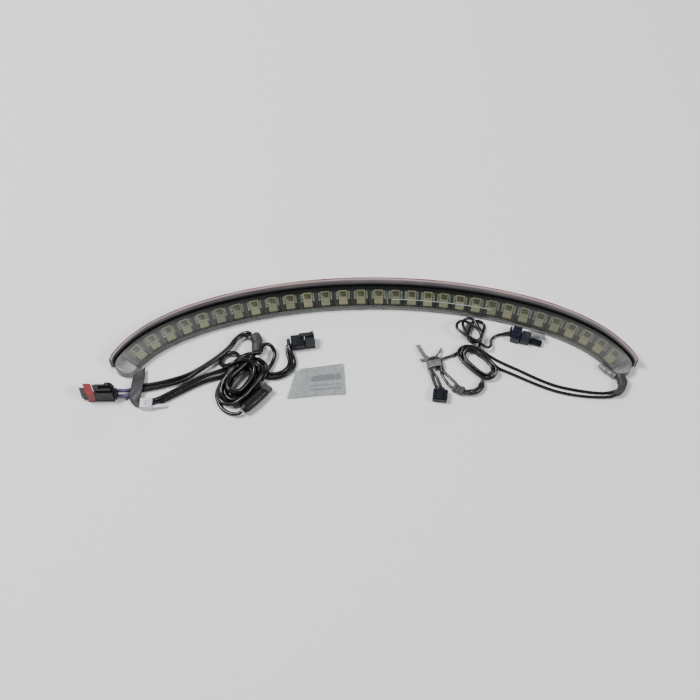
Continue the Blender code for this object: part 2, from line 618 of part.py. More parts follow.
def make_right_harness(paint):
    tube("right_lead_sleeve", RIGHT_SLEEVE, 1.75 * MM, paint["gray_sleeve"])
    tube("right_lead_a", RIGHT_LEAD_A, RIGHT_WIRE, paint["black_wire"])
    tube("right_lead_b", RIGHT_LEAD_B, RIGHT_WIRE, paint["black_wire"])
    tube("right_pigtail", RIGHT_PIGTAIL, RIGHT_WIRE, paint["black_wire"])
    tube("right_out", RIGHT_OUT, RIGHT_WIRE, paint["gray_wire"])
    hank = tapered_stadium((37.2, -10.8), 4.6, (46.0, -19.6), 4.4)
    prism("right_hank", hank, FLOOR, 4.6 * MM, paint["black_wire"], smooth_angle=40)
    fan = tapered_stadium((39.4, -2.8), 3.0, (39.8, -0.9), 4.2)
    prism("right_fan", fan, FLOOR, 5.2 * MM, paint["gray_wire"], smooth_angle=40)
    tube("right_jacket", JACKET_LOOP, JACKET, paint["black_sleeve"])
    ferrule_place = placed(33.4, -27.6, -30)
    block("right_ferrule", (-2.3, -1.6, 0.1), (2.3, 1.6, 2.9), paint["gray_sleeve"], ferrule_place, 0.4 * MM)
    tube("right_core_a", CORE_A, RIGHT_WIRE, paint["gray_wire"])
    tube("right_core_b", CORE_B, RIGHT_WIRE, paint["gray_wire"])
    tube("right_drop_a", DROP_A, RIGHT_WIRE, paint["gray_wire"])
    tube("right_drop_b", DROP_B, RIGHT_WIRE, paint["gray_wire"])
    make_twist_tie(paint["gray_sleeve"])


TIE_ENDS = {
    "tie_end_left": ([(23.6, -14.2, 1.6), (21.0, -12.9, 1.4), (19.6, -10.8, 1.2), (17.9, -7.3, 1.2)], 0.9),
    "tie_end_right": ([(24.4, -14.0, 2.2), (25.9, -11.6, 1.8), (26.6, -10.2, 1.3), (27.3, -8.6, 1.1)], 0.6),
    "tie_end_low": ([(23.4, -14.8, 1.8), (21.3, -14.2, 1.4), (20.0, -13.6, 1.2), (18.7, -13.9, 0.9)], 0.6),
}


def make_twist_tie(material):
    """Wire tie round the bundle: a wrapped middle with three loose ends."""
    place = placed(24.3, -15.2, 30)
    knot = block("right_twist_tie", (-1.7, -2.5, 0.1), (1.7, 2.5, 3.4), material, place, bevel=0.9 * MM)
    for name, (points, radius) in TIE_ENDS.items():
        cut(knot, rod(name, points, radius * MM, material), "UNION")


def make_right_plug(paint):
    """Plug on the pigtail, with a flat shroud tucked beside the bar."""
    place = placed(58.0, -2.8, -20)
    violet = paint["violet_plug"]
    body = block("right_plug_body", (-2.2, -3.2, 0.1), (1.5, 3.0, 3.9), violet, place, bevel=0.3 * MM)
    for index, across in enumerate((-1.8, 0.0, 1.8)):
        low, high = (-1.6, across - 0.3, 3.5), (0.9, across + 0.3, 4.4)
        cut(body, block("plug_rib_%d" % index, low, high, violet, place), "UNION")
    block("right_plug_shroud", (1.8, -2.6, 0.2), (5.4, 2.2, 3.4), paint["socket_gray"], place, bevel=0.3 * MM)
    block("right_plug_cap", (5.7, -1.6, 0.2), (10.4, 1.0, 1.8), paint["navy"], place, bevel=0.3 * MM)
    block("right_plug_seal", (-3.4, -1.0, 0.4), (-2.5, 2.6, 2.9), paint["seal"], place, bevel=0.2 * MM)


def make_blue_socket(paint):
    """Small socket on the loose end of the right lead."""
    place = placed(26.0, -30.3, -8)
    block("right_socket_body", (-2.9, -2.5, 0.1), (2.9, 2.4, 3.1), paint["navy"], place, bevel=0.4 * MM)
    block("right_socket_seal", (-2.2, 2.7, 0.5), (1.4, 3.4, 2.4), paint["seal"], place, bevel=0.2 * MM)
    block("right_socket_latch", (-1.0, -2.2, 3.5), (1.0, 1.8, 4.0), paint["navy"], place)


def palette():
    return {
        "gray_sleeve": make_material("gray_sleeve", (0.22, 0.22, 0.23), 0.55),
        "black_sleeve": make_material("black_sleeve", (0.02, 0.02, 0.025), 0.45),
        "white_nylon": make_material("white_nylon", (0.78, 0.78, 0.8), 0.45),
        "violet_wire": make_material("violet_wire", (0.12, 0.08, 0.2), 0.4),
        "black_wire": make_material("black_wire", (0.012, 0.012, 0.016), 0.35),
        "gray_wire": make_material("gray_wire", (0.12, 0.12, 0.125), 0.4),
        "plug_gray": make_material("plug_gray", (0.045, 0.05, 0.052), 0.5),
        "nose_gray": make_material("nose_gray", (0.13, 0.13, 0.135), 0.5),
        "red_lock": make_material("red_lock", (0.42, 0.03, 0.035), 0.42),
        "contact": make_material("contact", (0.75, 0.6, 0.3), 0.3, metallic=1.0),
        "navy": make_material("navy", (0.012, 0.014, 0.035), 0.5),
        "socket_gray": make_material("socket_gray", (0.1, 0.1, 0.125), 0.5),
        "seal": make_material("seal", (0.05, 0.05, 0.06), 0.6),
        "violet_plug": make_material("violet_plug", (0.07, 0.065, 0.13), 0.4),
    }


def build():
    clear_scene()
    paint = palette()
    make_lens(make_material("lens_milky", (0.5, 0.5, 0.52), 0.3, alpha=0.4))
    make_rail(make_material("rail_black", (0.012, 0.012, 0.015), 0.45))
    make_tape(make_material("foam_gray", (0.32, 0.3, 0.31), 0.8),
              make_material("liner_red", (0.5, 0.2, 0.19), 0.6))
    make_boards(make_material("board_white", (0.35, 0.36, 0.34), 0.5),
                make_material("adhesive_white", (0.6, 0.6, 0.58), 0.7),
                make_material("silicone_clear", (0.45, 0.45, 0.5), 0.3))
    make_lamps(make_material("lamp_cream", (0.72, 0.66, 0.4), 0.45))
    make_left_harness(paint)
    make_left_plug(paint)
    make_left_socket(paint)
    ribbon("flag_label", LABEL, 0.25, make_material("label_paper", (0.55, 0.56, 0.56), 0.7))
    make_right_harness(paint)
    make_right_plug(paint)
    make_blue_socket(paint)


build()
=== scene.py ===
"""Looks of the curved LED light bar and its two wire harnesses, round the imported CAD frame.

Everything is in metres; sizes and routes are written in millimetres times MM. +X runs along the bar,
+Y points to its adhesive outer side and +Z is up.
"""
import math
import random

import bmesh
import bpy
import numpy as np
from mathutils import Matrix, Vector


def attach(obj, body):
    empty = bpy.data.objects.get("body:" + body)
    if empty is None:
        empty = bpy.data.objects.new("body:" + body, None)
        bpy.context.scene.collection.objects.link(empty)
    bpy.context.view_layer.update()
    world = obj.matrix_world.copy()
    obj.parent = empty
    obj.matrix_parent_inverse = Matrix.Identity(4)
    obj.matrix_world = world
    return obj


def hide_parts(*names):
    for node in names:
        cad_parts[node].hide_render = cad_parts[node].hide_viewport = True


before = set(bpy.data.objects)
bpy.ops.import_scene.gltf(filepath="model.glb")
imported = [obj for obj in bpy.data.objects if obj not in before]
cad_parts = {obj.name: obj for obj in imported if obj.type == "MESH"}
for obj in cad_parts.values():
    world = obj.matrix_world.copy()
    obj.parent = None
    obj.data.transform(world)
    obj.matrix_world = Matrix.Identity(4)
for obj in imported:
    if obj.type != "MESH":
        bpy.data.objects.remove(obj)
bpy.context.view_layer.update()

MM = 0.001
BAR = "bar"

# The bar's middle line: its heading turns with the distance from the middle
TURN_SPAN = 100 * MM
TURN_LINEAR = 0.44
TURN_CUBIC = 0.075
TURN_SEVENTH = 0.306
APEX_Y = 14.987 * MM
HALF_LENGTH = 106.45 * MM
LENS_CENTRE = -0.2 * MM
LENS_HALF_WIDTH = 4.6 * MM
LENS_HEIGHT = 4.2 * MM
LENS_FILLET = 1.1 * MM
LENS_SIDE_WALL = 0.8 * MM
LENS_ROOF = 1.0 * MM
CAVITY_LEFT_END = -104.4 * MM
CAVITY_RIGHT_END = 106.2 * MM
END_CLEARANCE = 1.1 * MM
RAIL_THICKNESS = 0.7 * MM
RAIL_INNER = -3.6 * MM
FLANGE = (4.7 * MM, 5.1 * MM)
FLANGE_HEIGHT = 4.7 * MM
END_WRAP = 0.5
BOARD_LEVELS = (1.2 * MM, 1.7 * MM)
BOARD_SIDES = (-3.6 * MM, 3.4 * MM)
BOARD_JOINT = 5.85 * MM
LAMP_LEVELS = (1.9 * MM, 2.9 * MM)
LAMP_SIDES = (-3.5 * MM, 3.3 * MM)
LAMP_LENGTH = 3.6 * MM
LEFT_LAMPS = [(-99.4 + 7.27 * i) * MM for i in range(15)]
RIGHT_LAMPS = [(9.32 + 6.61 * i) * MM for i in range(15)]
WINDOW_CENTRE = 1.45 * MM
WINDOW_SIZE = (2.8 * MM, 2.7 * MM)
TAPE_SIDES = (5.35 * MM, 6.2 * MM)
LINER_SIDES = (6.42 * MM, 6.55 * MM)
TAPE_TOP = 7.15 * MM
TAPE_END_TOP = 5.6 * MM
TAPE_BOTTOM = 0.1 * MM
GAP = 0.3 * MM
LEFT_WIRE = 1.6 * MM
RIGHT_WIRE = 1.2 * MM
VIEW_TARGET = Vector((-9.34, -8.8, 0.0)) * MM
VIEW_ELEVATION = math.radians(60)
VIEW_DISTANCE = 500 * MM
VIEW_LENS = 63.96
FLOOR_DROP = 0.05 * MM
NEAR_END = 104 * MM
UP = Vector((0, 0, 1))


# ---------------------------------------------------------------- camera, floor and lights

def make_camera():
    data = bpy.data.cameras.new("camera")
    camera = bpy.data.objects.new("camera", data)
    bpy.context.collection.objects.link(camera)
    back = Vector((0, -math.cos(VIEW_ELEVATION), math.sin(VIEW_ELEVATION)))
    camera.location = VIEW_TARGET + back * VIEW_DISTANCE
    camera.rotation_euler = back.to_track_quat("Z", "Y").to_euler()
    data.sensor_width = 36
    data.lens = VIEW_LENS
    data.clip_start = 0.01
    bpy.context.scene.camera = camera


def make_light(name, place, size, power):
    """A soft rectangular lamp that points at the origin."""
    data = bpy.data.lights.new(name, "AREA")
    data.shape = "RECTANGLE"
    data.size, data.size_y = size
    data.energy = power
    lamp = bpy.data.objects.new(name, data)
    bpy.context.collection.objects.link(lamp)
    lamp.location = place
    lamp.rotation_euler = Vector(place).to_track_quat("Z", "Y").to_euler()


def make_stage():
    bpy.ops.mesh.primitive_plane_add(size=6, location=(0, 0, -FLOOR_DROP))
    floor = bpy.context.object
    floor.name = "floor"
    material, shader = new_material("floor_pale", (0.78, 0.78, 0.79), 0.7)
    floor.data.materials.append(material)
    make_light("key", (-0.5, 0.1, 0.8), (0.32, 0.32), 12.0)
    make_light("fill", (0.6, -0.3, 0.6), (0.3, 0.3), 5.0)
    make_light("back", (0.1, 0.6, 0.25), (0.6, 0.12), 1.2)
    world = bpy.data.worlds.new("studio")
    world.use_nodes = True
    background = world.node_tree.nodes["Background"]
    background.inputs["Color"].default_value = (0.9, 0.92, 0.95, 1)
    background.inputs["Strength"].default_value = 0.16
    bpy.context.scene.world = world


# ---------------------------------------------------------------- materials

def new_material(name, color, roughness, metallic=0.0):
    material = bpy.data.materials.new(name)
    material.use_nodes = True
    shader = material.node_tree.nodes["Principled BSDF"]
    shader.inputs["Base Color"].default_value = (*color, 1)
    shader.inputs["Roughness"].default_value = roughness
    shader.inputs["Metallic"].default_value = metallic
    material.diffuse_color = (*color, 1)
    return material, shader


class Nodes:
    """Short ways to add and link shader nodes in one material."""

    def __init__(self, material):
        self.tree = material.node_tree
        self.position = self.add("ShaderNodeTexCoord").outputs["Object"]

    def add(self, kind, **settings):
        node = self.tree.nodes.new(kind)
        for key, value in settings.items():
            setattr(node, key, value)
        return node

    def link(self, output, target):
        self.tree.links.new(output, target)

    def noise(self, scale, detail=4.0, stretch=None):
        texture = self.add("ShaderNodeTexNoise")
        texture.inputs["Scale"].default_value = scale
        texture.inputs["Detail"].default_value = detail
        source = self.position
        if stretch:
            mapping = self.add("ShaderNodeMapping")
            mapping.inputs["Scale"].default_value = stretch
            self.link(source, mapping.inputs["Vector"])
            source = mapping.outputs["Vector"]
        self.link(source, texture.inputs["Vector"])
        return texture.outputs["Fac"]

    def ramp(self, value, stops):
        """Colours, or grey values, at positions from 0 to 1."""
        ramp = self.add("ShaderNodeValToRGB")
        elements = ramp.color_ramp.elements
        while len(elements) < len(stops):
            elements.new(0.5)
        for element, (place, color) in zip(elements, stops):
            element.position = place
            if not hasattr(color, "__len__"):
                color = (color, color, color)
            element.color = (*color, 1)
        self.link(value, ramp.inputs["Fac"])
        return ramp.outputs["Color"]

    def math(self, operation, first, second=0.0, clamp=False):
        node = self.add("ShaderNodeMath", operation=operation, use_clamp=clamp)
        for value, socket in ((first, node.inputs[0]), (second, node.inputs[1])):
            if isinstance(value, (int, float)):
                socket.default_value = value
            else:
                self.link(value, socket)
        return node.outputs[0]

    def mix(self, factor, first, second, blend="MIX"):
        node = self.add("ShaderNodeMix", data_type="RGBA", blend_type=blend)
        for value, socket in ((factor, node.inputs[0]), (first, node.inputs[6]), (second, node.inputs[7])):
            if isinstance(value, (int, float)):
                socket.default_value = value
            elif isinstance(value, tuple):
                socket.default_value = (*value, 1)
            else:
                self.link(value, socket)
        return node.outputs[2]

    def axis(self, index):
        split = self.add("ShaderNodeSeparateXYZ")
        self.link(self.position, split.inputs[0])
        return split.outputs[index]

    def attribute(self, name):
        return self.add("ShaderNodeAttribute", attribute_name=name).outputs["Fac"]

    def bump(self, height, shader, strength, distance):
        bump = self.add("ShaderNodeBump")
        bump.inputs["Strength"].default_value = strength
        bump.inputs["Distance"].default_value = distance
        self.link(height, bump.inputs["Height"])
        self.link(bump.outputs["Normal"], shader.inputs["Normal"])


def speckled(name, dark, light, roughness, grain=900, cloud=90, bump=0.25, depth=0.03 * MM, metallic=0.0):
    """Moulded or drawn plastic: cloudy colour, fine grain, and roughness that varies a little."""
    material, shader = new_material(name, light, roughness[0], metallic)
    nodes = Nodes(material)
    clouds = nodes.noise(cloud, 5)
    fine = nodes.noise(grain * 4, 3)
    blend = nodes.math("ADD", nodes.math("MULTIPLY", clouds, 0.7), nodes.math("MULTIPLY", fine, 0.3))
    color = nodes.ramp(blend, [(0.34, dark), (0.66, light)])
    nodes.link(color, shader.inputs["Base Color"])
    rough = nodes.ramp(nodes.noise(cloud * 3, 4), [(0.3, roughness[0]), (0.7, roughness[1])])
    nodes.link(rough, shader.inputs["Roughness"])
    nodes.bump(fine, shader, bump, depth)
    shader.inputs["Specular IOR Level"].default_value = 0.28
    return material


def wire_material(name, dark, light):
    """Glossy insulation with faint handling marks."""
    material = speckled(name, dark, light, (0.24, 0.42), grain=500, cloud=160, bump=0.12)
    shader = material.node_tree.nodes["Principled BSDF"]
    shader.inputs["Coat Weight"].default_value = 0.35
    shader.inputs["Coat Roughness"].default_value = 0.16
    return material


def two_tone_wire():
    """Violet insulation beside the plug that is black past the flat sleeve."""
    material = wire_material("wire_violet", (0.03, 0.019, 0.055), (0.085, 0.058, 0.14))
    shader = material.node_tree.nodes["Principled BSDF"]
    nodes = Nodes(material)
    violet = shader.inputs["Base Color"].links[0].from_socket
    place = nodes.math("DIVIDE", nodes.math("ADD", nodes.axis(0), 94 * MM), 3 * MM, clamp=True)
    black = nodes.ramp(nodes.noise(160, 4), [(0.35, (0.002, 0.002, 0.003)), (0.65, (0.008, 0.008, 0.01))])
    nodes.link(nodes.mix(place, violet, black), shader.inputs["Base Color"])
    return material


def lens_material(name, middle_cover, end_cover, tint):
    """Milky translucent plastic: nearly clear in the middle of the bar and cloudier towards its ends."""
    material, shader = new_material(name, tint, 0.22)
    nodes = Nodes(material)
    color = nodes.ramp(nodes.noise(70, 4), [(0.35, tuple(0.86 * c for c in tint)), (0.65, tint)])
    nodes.link(color, shader.inputs["Base Color"])
    distance = nodes.math("MULTIPLY", nodes.math("ABSOLUTE", nodes.axis(0)), 1 / NEAR_END)
    reach = nodes.ramp(distance, [(0.35, middle_cover), (0.7, middle_cover * 0.6 + end_cover * 0.4),
                                  (0.93, end_cover), (0.975, min(1, end_cover * 2.4))])
    uneven = nodes.math("ADD", nodes.math("MULTIPLY", nodes.noise(240, 5), 0.5), 0.75)
    edge = nodes.add("ShaderNodeLayerWeight")
    edge.inputs["Blend"].default_value = 0.25
    cover = nodes.math("MULTIPLY", reach, uneven)
    cover = nodes.math("ADD", cover, nodes.math("MULTIPLY", edge.outputs["Facing"], 0.12), clamp=True)
    nodes.bump(nodes.noise(1400, 3), shader, 0.12, 0.02 * MM)
    clear = nodes.add("ShaderNodeBsdfTransparent")
    clear.inputs["Color"].default_value = (0.93, 0.94, 0.93, 1)
    mixer = nodes.add("ShaderNodeMixShader")
    nodes.link(cover, mixer.inputs[0])
    nodes.link(clear.outputs[0], mixer.inputs[1])
    nodes.link(shader.outputs[0], mixer.inputs[2])
    nodes.link(mixer.outputs[0], material.node_tree.nodes["Material Output"].inputs["Surface"])
    return material


def foam_material():
    """Closed-cell foam: fine cells in the bump, a dusty mauve-grey colour, painted shade in the cell pits and
    a painted highlight, lighter and pinker, along its top.
    """
    material, shader = new_material("foam_mauve", (0.3, 0.27, 0.3), 0.85)
    nodes = Nodes(material)
    cells = nodes.add("ShaderNodeTexVoronoi", feature="F1")
    cells.inputs["Scale"].default_value = 2600
    nodes.link(nodes.position, cells.inputs["Vector"])
    cloud = nodes.noise(60, 5)
    base = nodes.ramp(cloud, [(0.35, (0.17, 0.152, 0.162)), (0.65, (0.26, 0.235, 0.245))])
    # Painted highlight: the top of the foam is lighter and pinker, where light falls on its top face.
    height = nodes.math("MULTIPLY", nodes.axis(2), 1 / TAPE_TOP)
    pink = nodes.ramp(height, [(0.88, 0.0), (0.97, 0.75)])
    top_highlight = nodes.math("MULTIPLY", pink, nodes.ramp(nodes.noise(25, 3), [(0.3, 0.45), (0.6, 1.0)]))
    color = nodes.mix(top_highlight, base, (0.36, 0.255, 0.255))
    # Painted shade: the colour is darkened at the cell centres, where the bump sinks into pits.
    pit_shade = nodes.ramp(cells.outputs["Distance"], [(0.0, 0.6), (0.35, 1.0)])
    nodes.link(nodes.mix(1.0, color, pit_shade, "MULTIPLY"), shader.inputs["Base Color"])
    nodes.bump(cells.outputs["Distance"], shader, 0.5, 0.06 * MM)
    return material


def liner_material():
    """Thin release film: pinkish red, a little waxy, paler where it is creased."""
    material, shader = new_material("liner_pink_red", (0.5, 0.16, 0.16), 0.42)
    nodes = Nodes(material)
    crease = nodes.noise(130, 6, stretch=(1, 1, 4))
    color = nodes.ramp(crease, [(0.3, (0.4, 0.09, 0.09)), (0.55, (0.55, 0.2, 0.19)),
                                (0.72, (0.68, 0.42, 0.4))])
    nodes.link(color, shader.inputs["Base Color"])
    nodes.bump(crease, shader, 0.4, 0.1 * MM)
    shader.inputs["Coat Weight"].default_value = 0.2
    return material


def board_material():
    """Solder mask over copper: near black with slightly lighter tracks across the board."""
    material, shader = new_material("board_mask", (0.03, 0.035, 0.03), 0.4)
    nodes = Nodes(material)
    along = nodes.attribute("along")
    wave = nodes.math("FRACT", nodes.math("MULTIPLY", along, 1 / 1.6))
    track = nodes.ramp(wave, [(0.0, 0.0), (0.42, 0.0), (0.47, 1.0), (0.6, 1.0), (0.65, 0.0)])
    cloud = nodes.noise(350, 4)
    mask = nodes.ramp(cloud, [(0.35, (0.005, 0.006, 0.005)), (0.65, (0.014, 0.016, 0.013))])
    nodes.link(nodes.mix(track, mask, (0.03, 0.034, 0.028)), shader.inputs["Base Color"])
    nodes.bump(track, shader, 0.3, 0.03 * MM)
    return material


def lamp_material():
    """Cream moulded lamp housing, lighter and yellower towards the bar's ends, and different from lamp to
    lamp.
    """
    material, shader = new_material("lamp_cream", (0.72, 0.69, 0.52), 0.42)
    nodes = Nodes(material)
    tone = nodes.attribute("tone")
    reach = nodes.math("MULTIPLY", nodes.math("ABSOLUTE", nodes.axis(0)), 1 / NEAR_END)
    end_tint_share = nodes.ramp(reach, [(0.6, 0.0), (0.95, 0.8)])
    base = nodes.ramp(tone, [(0.0, (0.145, 0.149, 0.09)), (0.5, (0.19, 0.189, 0.118)),
                             (1.0, (0.24, 0.223, 0.136))])
    grime = nodes.ramp(nodes.noise(700, 5), [(0.3, 0.8), (0.6, 1.0)])
    end_tinted = nodes.mix(end_tint_share, base, (0.31, 0.295, 0.14))
    nodes.link(nodes.mix(1.0, end_tinted, grime, "MULTIPLY"), shader.inputs["Base Color"])
    nodes.bump(nodes.noise(2500, 3), shader, 0.25, 0.03 * MM)
    shader.inputs["Subsurface Weight"].default_value = 0.15
    shader.inputs["Subsurface Scale"].default_value = 0.5 * MM
    return material


def window_material():
    """Phosphor gel over the dice: dark olive with amber streaks and a glassy top."""
    material, shader = new_material("lamp_phosphor", (0.2, 0.19, 0.07), 0.4)
    nodes = Nodes(material)
    streak = nodes.ramp(nodes.noise(1500, 2), [(0.35, (0.014, 0.014, 0.004)), (0.55, (0.045, 0.043, 0.01)),
                                               (0.75, (0.13, 0.1, 0.025))])
    nodes.link(streak, shader.inputs["Base Color"])
    shader.inputs["Coat Weight"].default_value = 0.3
    shader.inputs["Coat Roughness"].default_value = 0.3
    nodes.bump(nodes.noise(1200, 2), shader, 0.15, 0.04 * MM)
    return material


def solder_material():
    """Flux-dulled tin: bright metal with greenish-grey residue."""
    material, shader = new_material("solder_tin", (0.4, 0.42, 0.4), 0.35, metallic=0.7)
    nodes = Nodes(material)
    cloud = nodes.noise(900, 5)
    color = nodes.ramp(cloud, [(0.3, (0.12, 0.13, 0.115)), (0.65, (0.34, 0.36, 0.33))])
    nodes.link(color, shader.inputs["Base Color"])
    nodes.link(nodes.ramp(cloud, [(0.3, 0.6), (0.7, 0.25)]), shader.inputs["Roughness"])
    nodes.bump(cloud, shader, 0.4, 0.05 * MM)
    return material


def label_material():
    """Coated label stock with plain printed rules, a soft crease and no lettering."""
    material, shader = new_material("label_stock", (0.6, 0.61, 0.61), 0.5)
    nodes = Nodes(material)
    fibre = nodes.ramp(nodes.noise(900, 6), [(0.35, (0.19, 0.212, 0.212)), (0.65, (0.26, 0.28, 0.278))])
    across, down = nodes.attribute("label_u"), nodes.attribute("label_v")
    inside = nodes.ramp(across, [(0.36, 0.0), (0.38, 1.0), (0.93, 1.0), (0.95, 0.0)])
    stops = []
    for start, end, strength in ((0.3, 0.51, 0.8), (0.62, 0.68, 0.5), (0.76, 0.83, 0.6)):
        stops += [(start, 0.0), (start + 0.01, strength), (end - 0.01, strength), (end, 0.0)]
    rules = nodes.ramp(down, stops)
    worn = nodes.ramp(nodes.noise(1800, 4), [(0.35, 0.35), (0.6, 1.0)])
    ink = nodes.math("MULTIPLY", nodes.math("MULTIPLY", inside, rules), worn)
    nodes.link(nodes.mix(ink, fibre, (0.05, 0.06, 0.064)), shader.inputs["Base Color"])
    nodes.bump(nodes.noise(500, 5), shader, 0.2, 0.05 * MM)
    return material


def palette():
    """Every finish, by name."""
    shrunk = {"cloud": 220, "bump": 0.4, "depth": 0.08 * MM}
    return {
        "lens_roof": lens_material("lens_milky_roof", 0.02, 0.2, (0.25, 0.25, 0.25)),
        # The inner side wall and the round ends are the same milky plastic as the roof, made mostly opaque
        # and dark: painted shade of the sides turned away from the lamps.
        "lens_inner": lens_material("lens_milky_shaded_side", 0.86, 0.7, (0.065, 0.068, 0.06)),
        "lens_outer": lens_material("lens_clear_outer", 0.03, 0.3, (0.2, 0.2, 0.2)),
        "rail": speckled("rail_black_coat", (0.002, 0.002, 0.003), (0.006, 0.006, 0.008), (0.5, 0.65)),
        "foam": foam_material(),
        "liner": liner_material(),
        "board": board_material(),
        "adhesive": speckled("adhesive_sheet", (0.45, 0.45, 0.42), (0.6, 0.6, 0.56), (0.6, 0.8)),
        "lamp": lamp_material(),
        "window": window_material(),
        "solder": solder_material(),
        "residue": speckled("pad_residue", (0.06, 0.066, 0.05), (0.2, 0.21, 0.165), (0.45, 0.7), 1200, 420),
        "tail_film": lens_material("tail_film", 0.4, 0.5, (0.07, 0.07, 0.075)),
        "silicone": lens_material("silicone_bead", 0.8, 0.62, (0.2, 0.2, 0.195)),
        "jacket": speckled("jacket_smoke", (0.005, 0.007, 0.007), (0.016, 0.019, 0.018), (0.18, 0.35),
                           cloud=260, bump=0.3),
        "clear_tie": speckled("tie_gray", (0.06, 0.06, 0.06), (0.2, 0.2, 0.2), (0.25, 0.45), cloud=300),
        "ferrule": speckled("ferrule_gray", (0.027, 0.028, 0.027), (0.075, 0.076, 0.074), (0.3, 0.5),
                            cloud=260, bump=0.4),
        "chip": speckled("chip_ceramic", (0.002, 0.002, 0.002), (0.007, 0.007, 0.007), (0.4, 0.6)),
        "potting": lens_material("silicone_potting", 0.35, 0.5, (0.17, 0.165, 0.195)),
        "gray_sleeve": speckled("shrink_gray", (0.019, 0.019, 0.0215), (0.047, 0.047, 0.051), (0.4, 0.62),
                                **shrunk),
        "black_sleeve": speckled("shrink_black", (0.001, 0.001, 0.0015), (0.003, 0.003, 0.004), (0.32, 0.55),
                                 **shrunk),
        "nylon": speckled("nylon_white", (0.54, 0.54, 0.58), (0.7, 0.7, 0.73), (0.3, 0.5)),
        "violet_wire": two_tone_wire(),
        "black_wire": wire_material("wire_black", (0.002, 0.002, 0.003), (0.007, 0.007, 0.009)),
        "gray_wire": wire_material("wire_gray", (0.018, 0.018, 0.02), (0.055, 0.055, 0.058)),
        "plug": speckled("plug_dark_gray", (0.0032, 0.0038, 0.004), (0.0095, 0.011, 0.0115), (0.38, 0.58)),
        "nose": speckled("nose_gray", (0.02, 0.02, 0.02), (0.048, 0.048, 0.048), (0.4, 0.6)),
        "red": speckled("lock_red", (0.12, 0.005, 0.006), (0.22, 0.012, 0.014), (0.34, 0.52)),
        "contact": speckled("contact_plated", (0.6, 0.45, 0.2), (0.85, 0.68, 0.36), (0.2, 0.4), metallic=1.0),
        "navy": speckled("housing_navy", (0.001, 0.0015, 0.0042), (0.0032, 0.0046, 0.0105), (0.36, 0.55)),
        "blue_gray": speckled("housing_blue_gray", (0.006, 0.0068, 0.0095), (0.016, 0.018, 0.024),
                              (0.4, 0.6)),
        "seal": speckled("seal_silicone", (0.01, 0.012, 0.018), (0.024, 0.028, 0.038), (0.45, 0.65)),
        "violet": speckled("housing_violet", (0.008, 0.007, 0.018), (0.022, 0.02, 0.045), (0.34, 0.5)),
        "label": label_material(),
    }


# ---------------------------------------------------------------- shared geometry

def heading(s):
    w = s / TURN_SPAN
    return TURN_LINEAR * w + TURN_CUBIC * w**3 + TURN_SEVENTH * w**7


def middle_point(s):
    """A point of the middle line, by adding up short straight steps."""
    steps = 60
    x = y = 0.0
    for i in range(steps):
        angle = heading((i + 0.5) / steps * s)
        x += math.cos(angle) * s / steps
        y -= math.sin(angle) * s / steps
    return Vector((x, APEX_Y + y, 0.0))


def outward(angle):
    return Vector((math.sin(angle), math.cos(angle), 0.0))


def bar_point(s, across, up):
    """A point by its distance along, across and above the bar; past the ends it goes round them."""
    inner_s = max(-HALF_LENGTH, min(HALF_LENGTH, s))
    angle = heading(inner_s)
    centre = middle_point(inner_s) + outward(angle) * LENS_CENTRE
    turn = (s - inner_s) / LENS_HALF_WIDTH
    return centre + outward(angle + turn) * (across - LENS_CENTRE) + Vector((0, 0, up))


def bar_matrix(s, across=0.0, up=0.0):
    place = middle_point(s) + outward(heading(s)) * across
    place.z = up
    return Matrix.Translation(place) @ Matrix.Rotation(-heading(s), 4, "Z")


def stations(start, end, count):
    return [start + (end - start) * i / count for i in range(count + 1)]


def finish_mesh(name, shell, material, smooth=30, stands_for=()):
    """Turn a bmesh into a shaded piece that rides on the bar."""
    bmesh.ops.recalc_face_normals(shell, faces=shell.faces)
    mesh = bpy.data.meshes.new(name)
    shell.to_mesh(mesh)
    shell.free()
    mesh.shade_smooth()
    mesh.set_sharp_from_angle(angle=math.radians(smooth))
    piece = bpy.data.objects.new(name, mesh)
    bpy.context.collection.objects.link(piece)
    for item in material if isinstance(material, list) else [material]:
        mesh.materials.append(item)
    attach(piece, BAR)
    if stands_for:
        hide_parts(*stands_for)
    return piece


def add_loft(shell, rings):
    """Skin rings of points into a closed solid."""
    loops = [[shell.verts.new(point) for point in ring] for ring in rings]
    size = len(loops[0])
    for first, second in zip(loops, loops[1:]):
        for i in range(size):
            j = (i + 1) % size
            shell.faces.new((first[i], first[j], second[j], second[i]))
    shell.faces.new(loops[0])
    shell.faces.new(loops[-1])
    return loops


def rounded_rectangle(low, high, bottom, top, radius, steps=2):
    """Section with rounded corners, as (across, up) pairs."""
    points = []
    for cx, cy, start in ((high - radius, bottom + radius, -90), (high - radius, top - radius, 0),
                          (low + radius, top - radius, 90), (low + radius, bottom + radius, 180)):
        for i in range(steps + 1):
            angle = math.radians(start + 90 * i / steps)
            points.append((cx + radius * math.cos(angle), cy + radius * math.sin(angle)))
    return points


def oval(centre, side, up, wide, tall, count):
    """A ring of points round a centre in the plane of two directions."""
    turns = [2 * math.pi * i / count for i in range(count)]
    return [centre + wide * math.cos(a) * side + tall * math.sin(a) * up for a in turns]


def across_line(points, k):
    """The two directions across a line at one of its points, the first of them level."""
    ahead = (points[min(k + 1, len(points) - 1)] - points[max(k - 1, 0)]).normalized()
    side = ahead.cross(UP).normalized()
    return side, side.cross(ahead)


def sweep_rings(along, section):
    return [[bar_point(s, across, up) for across, up in section(s)] for s in along]


def add_rounded_box(shell, matrix, size, radius, segments=2):
    """A box with rounded edges, centred on the matrix."""
    made = bmesh.ops.create_cube(shell, size=1.0, matrix=matrix @ Matrix.Diagonal((*size, 1.0)))
    edges = {edge for vert in made["verts"] for edge in vert.link_edges}
    bmesh.ops.bevel(shell, geom=list(edges), offset=radius, segments=segments, affect="EDGES", profile=0.5)


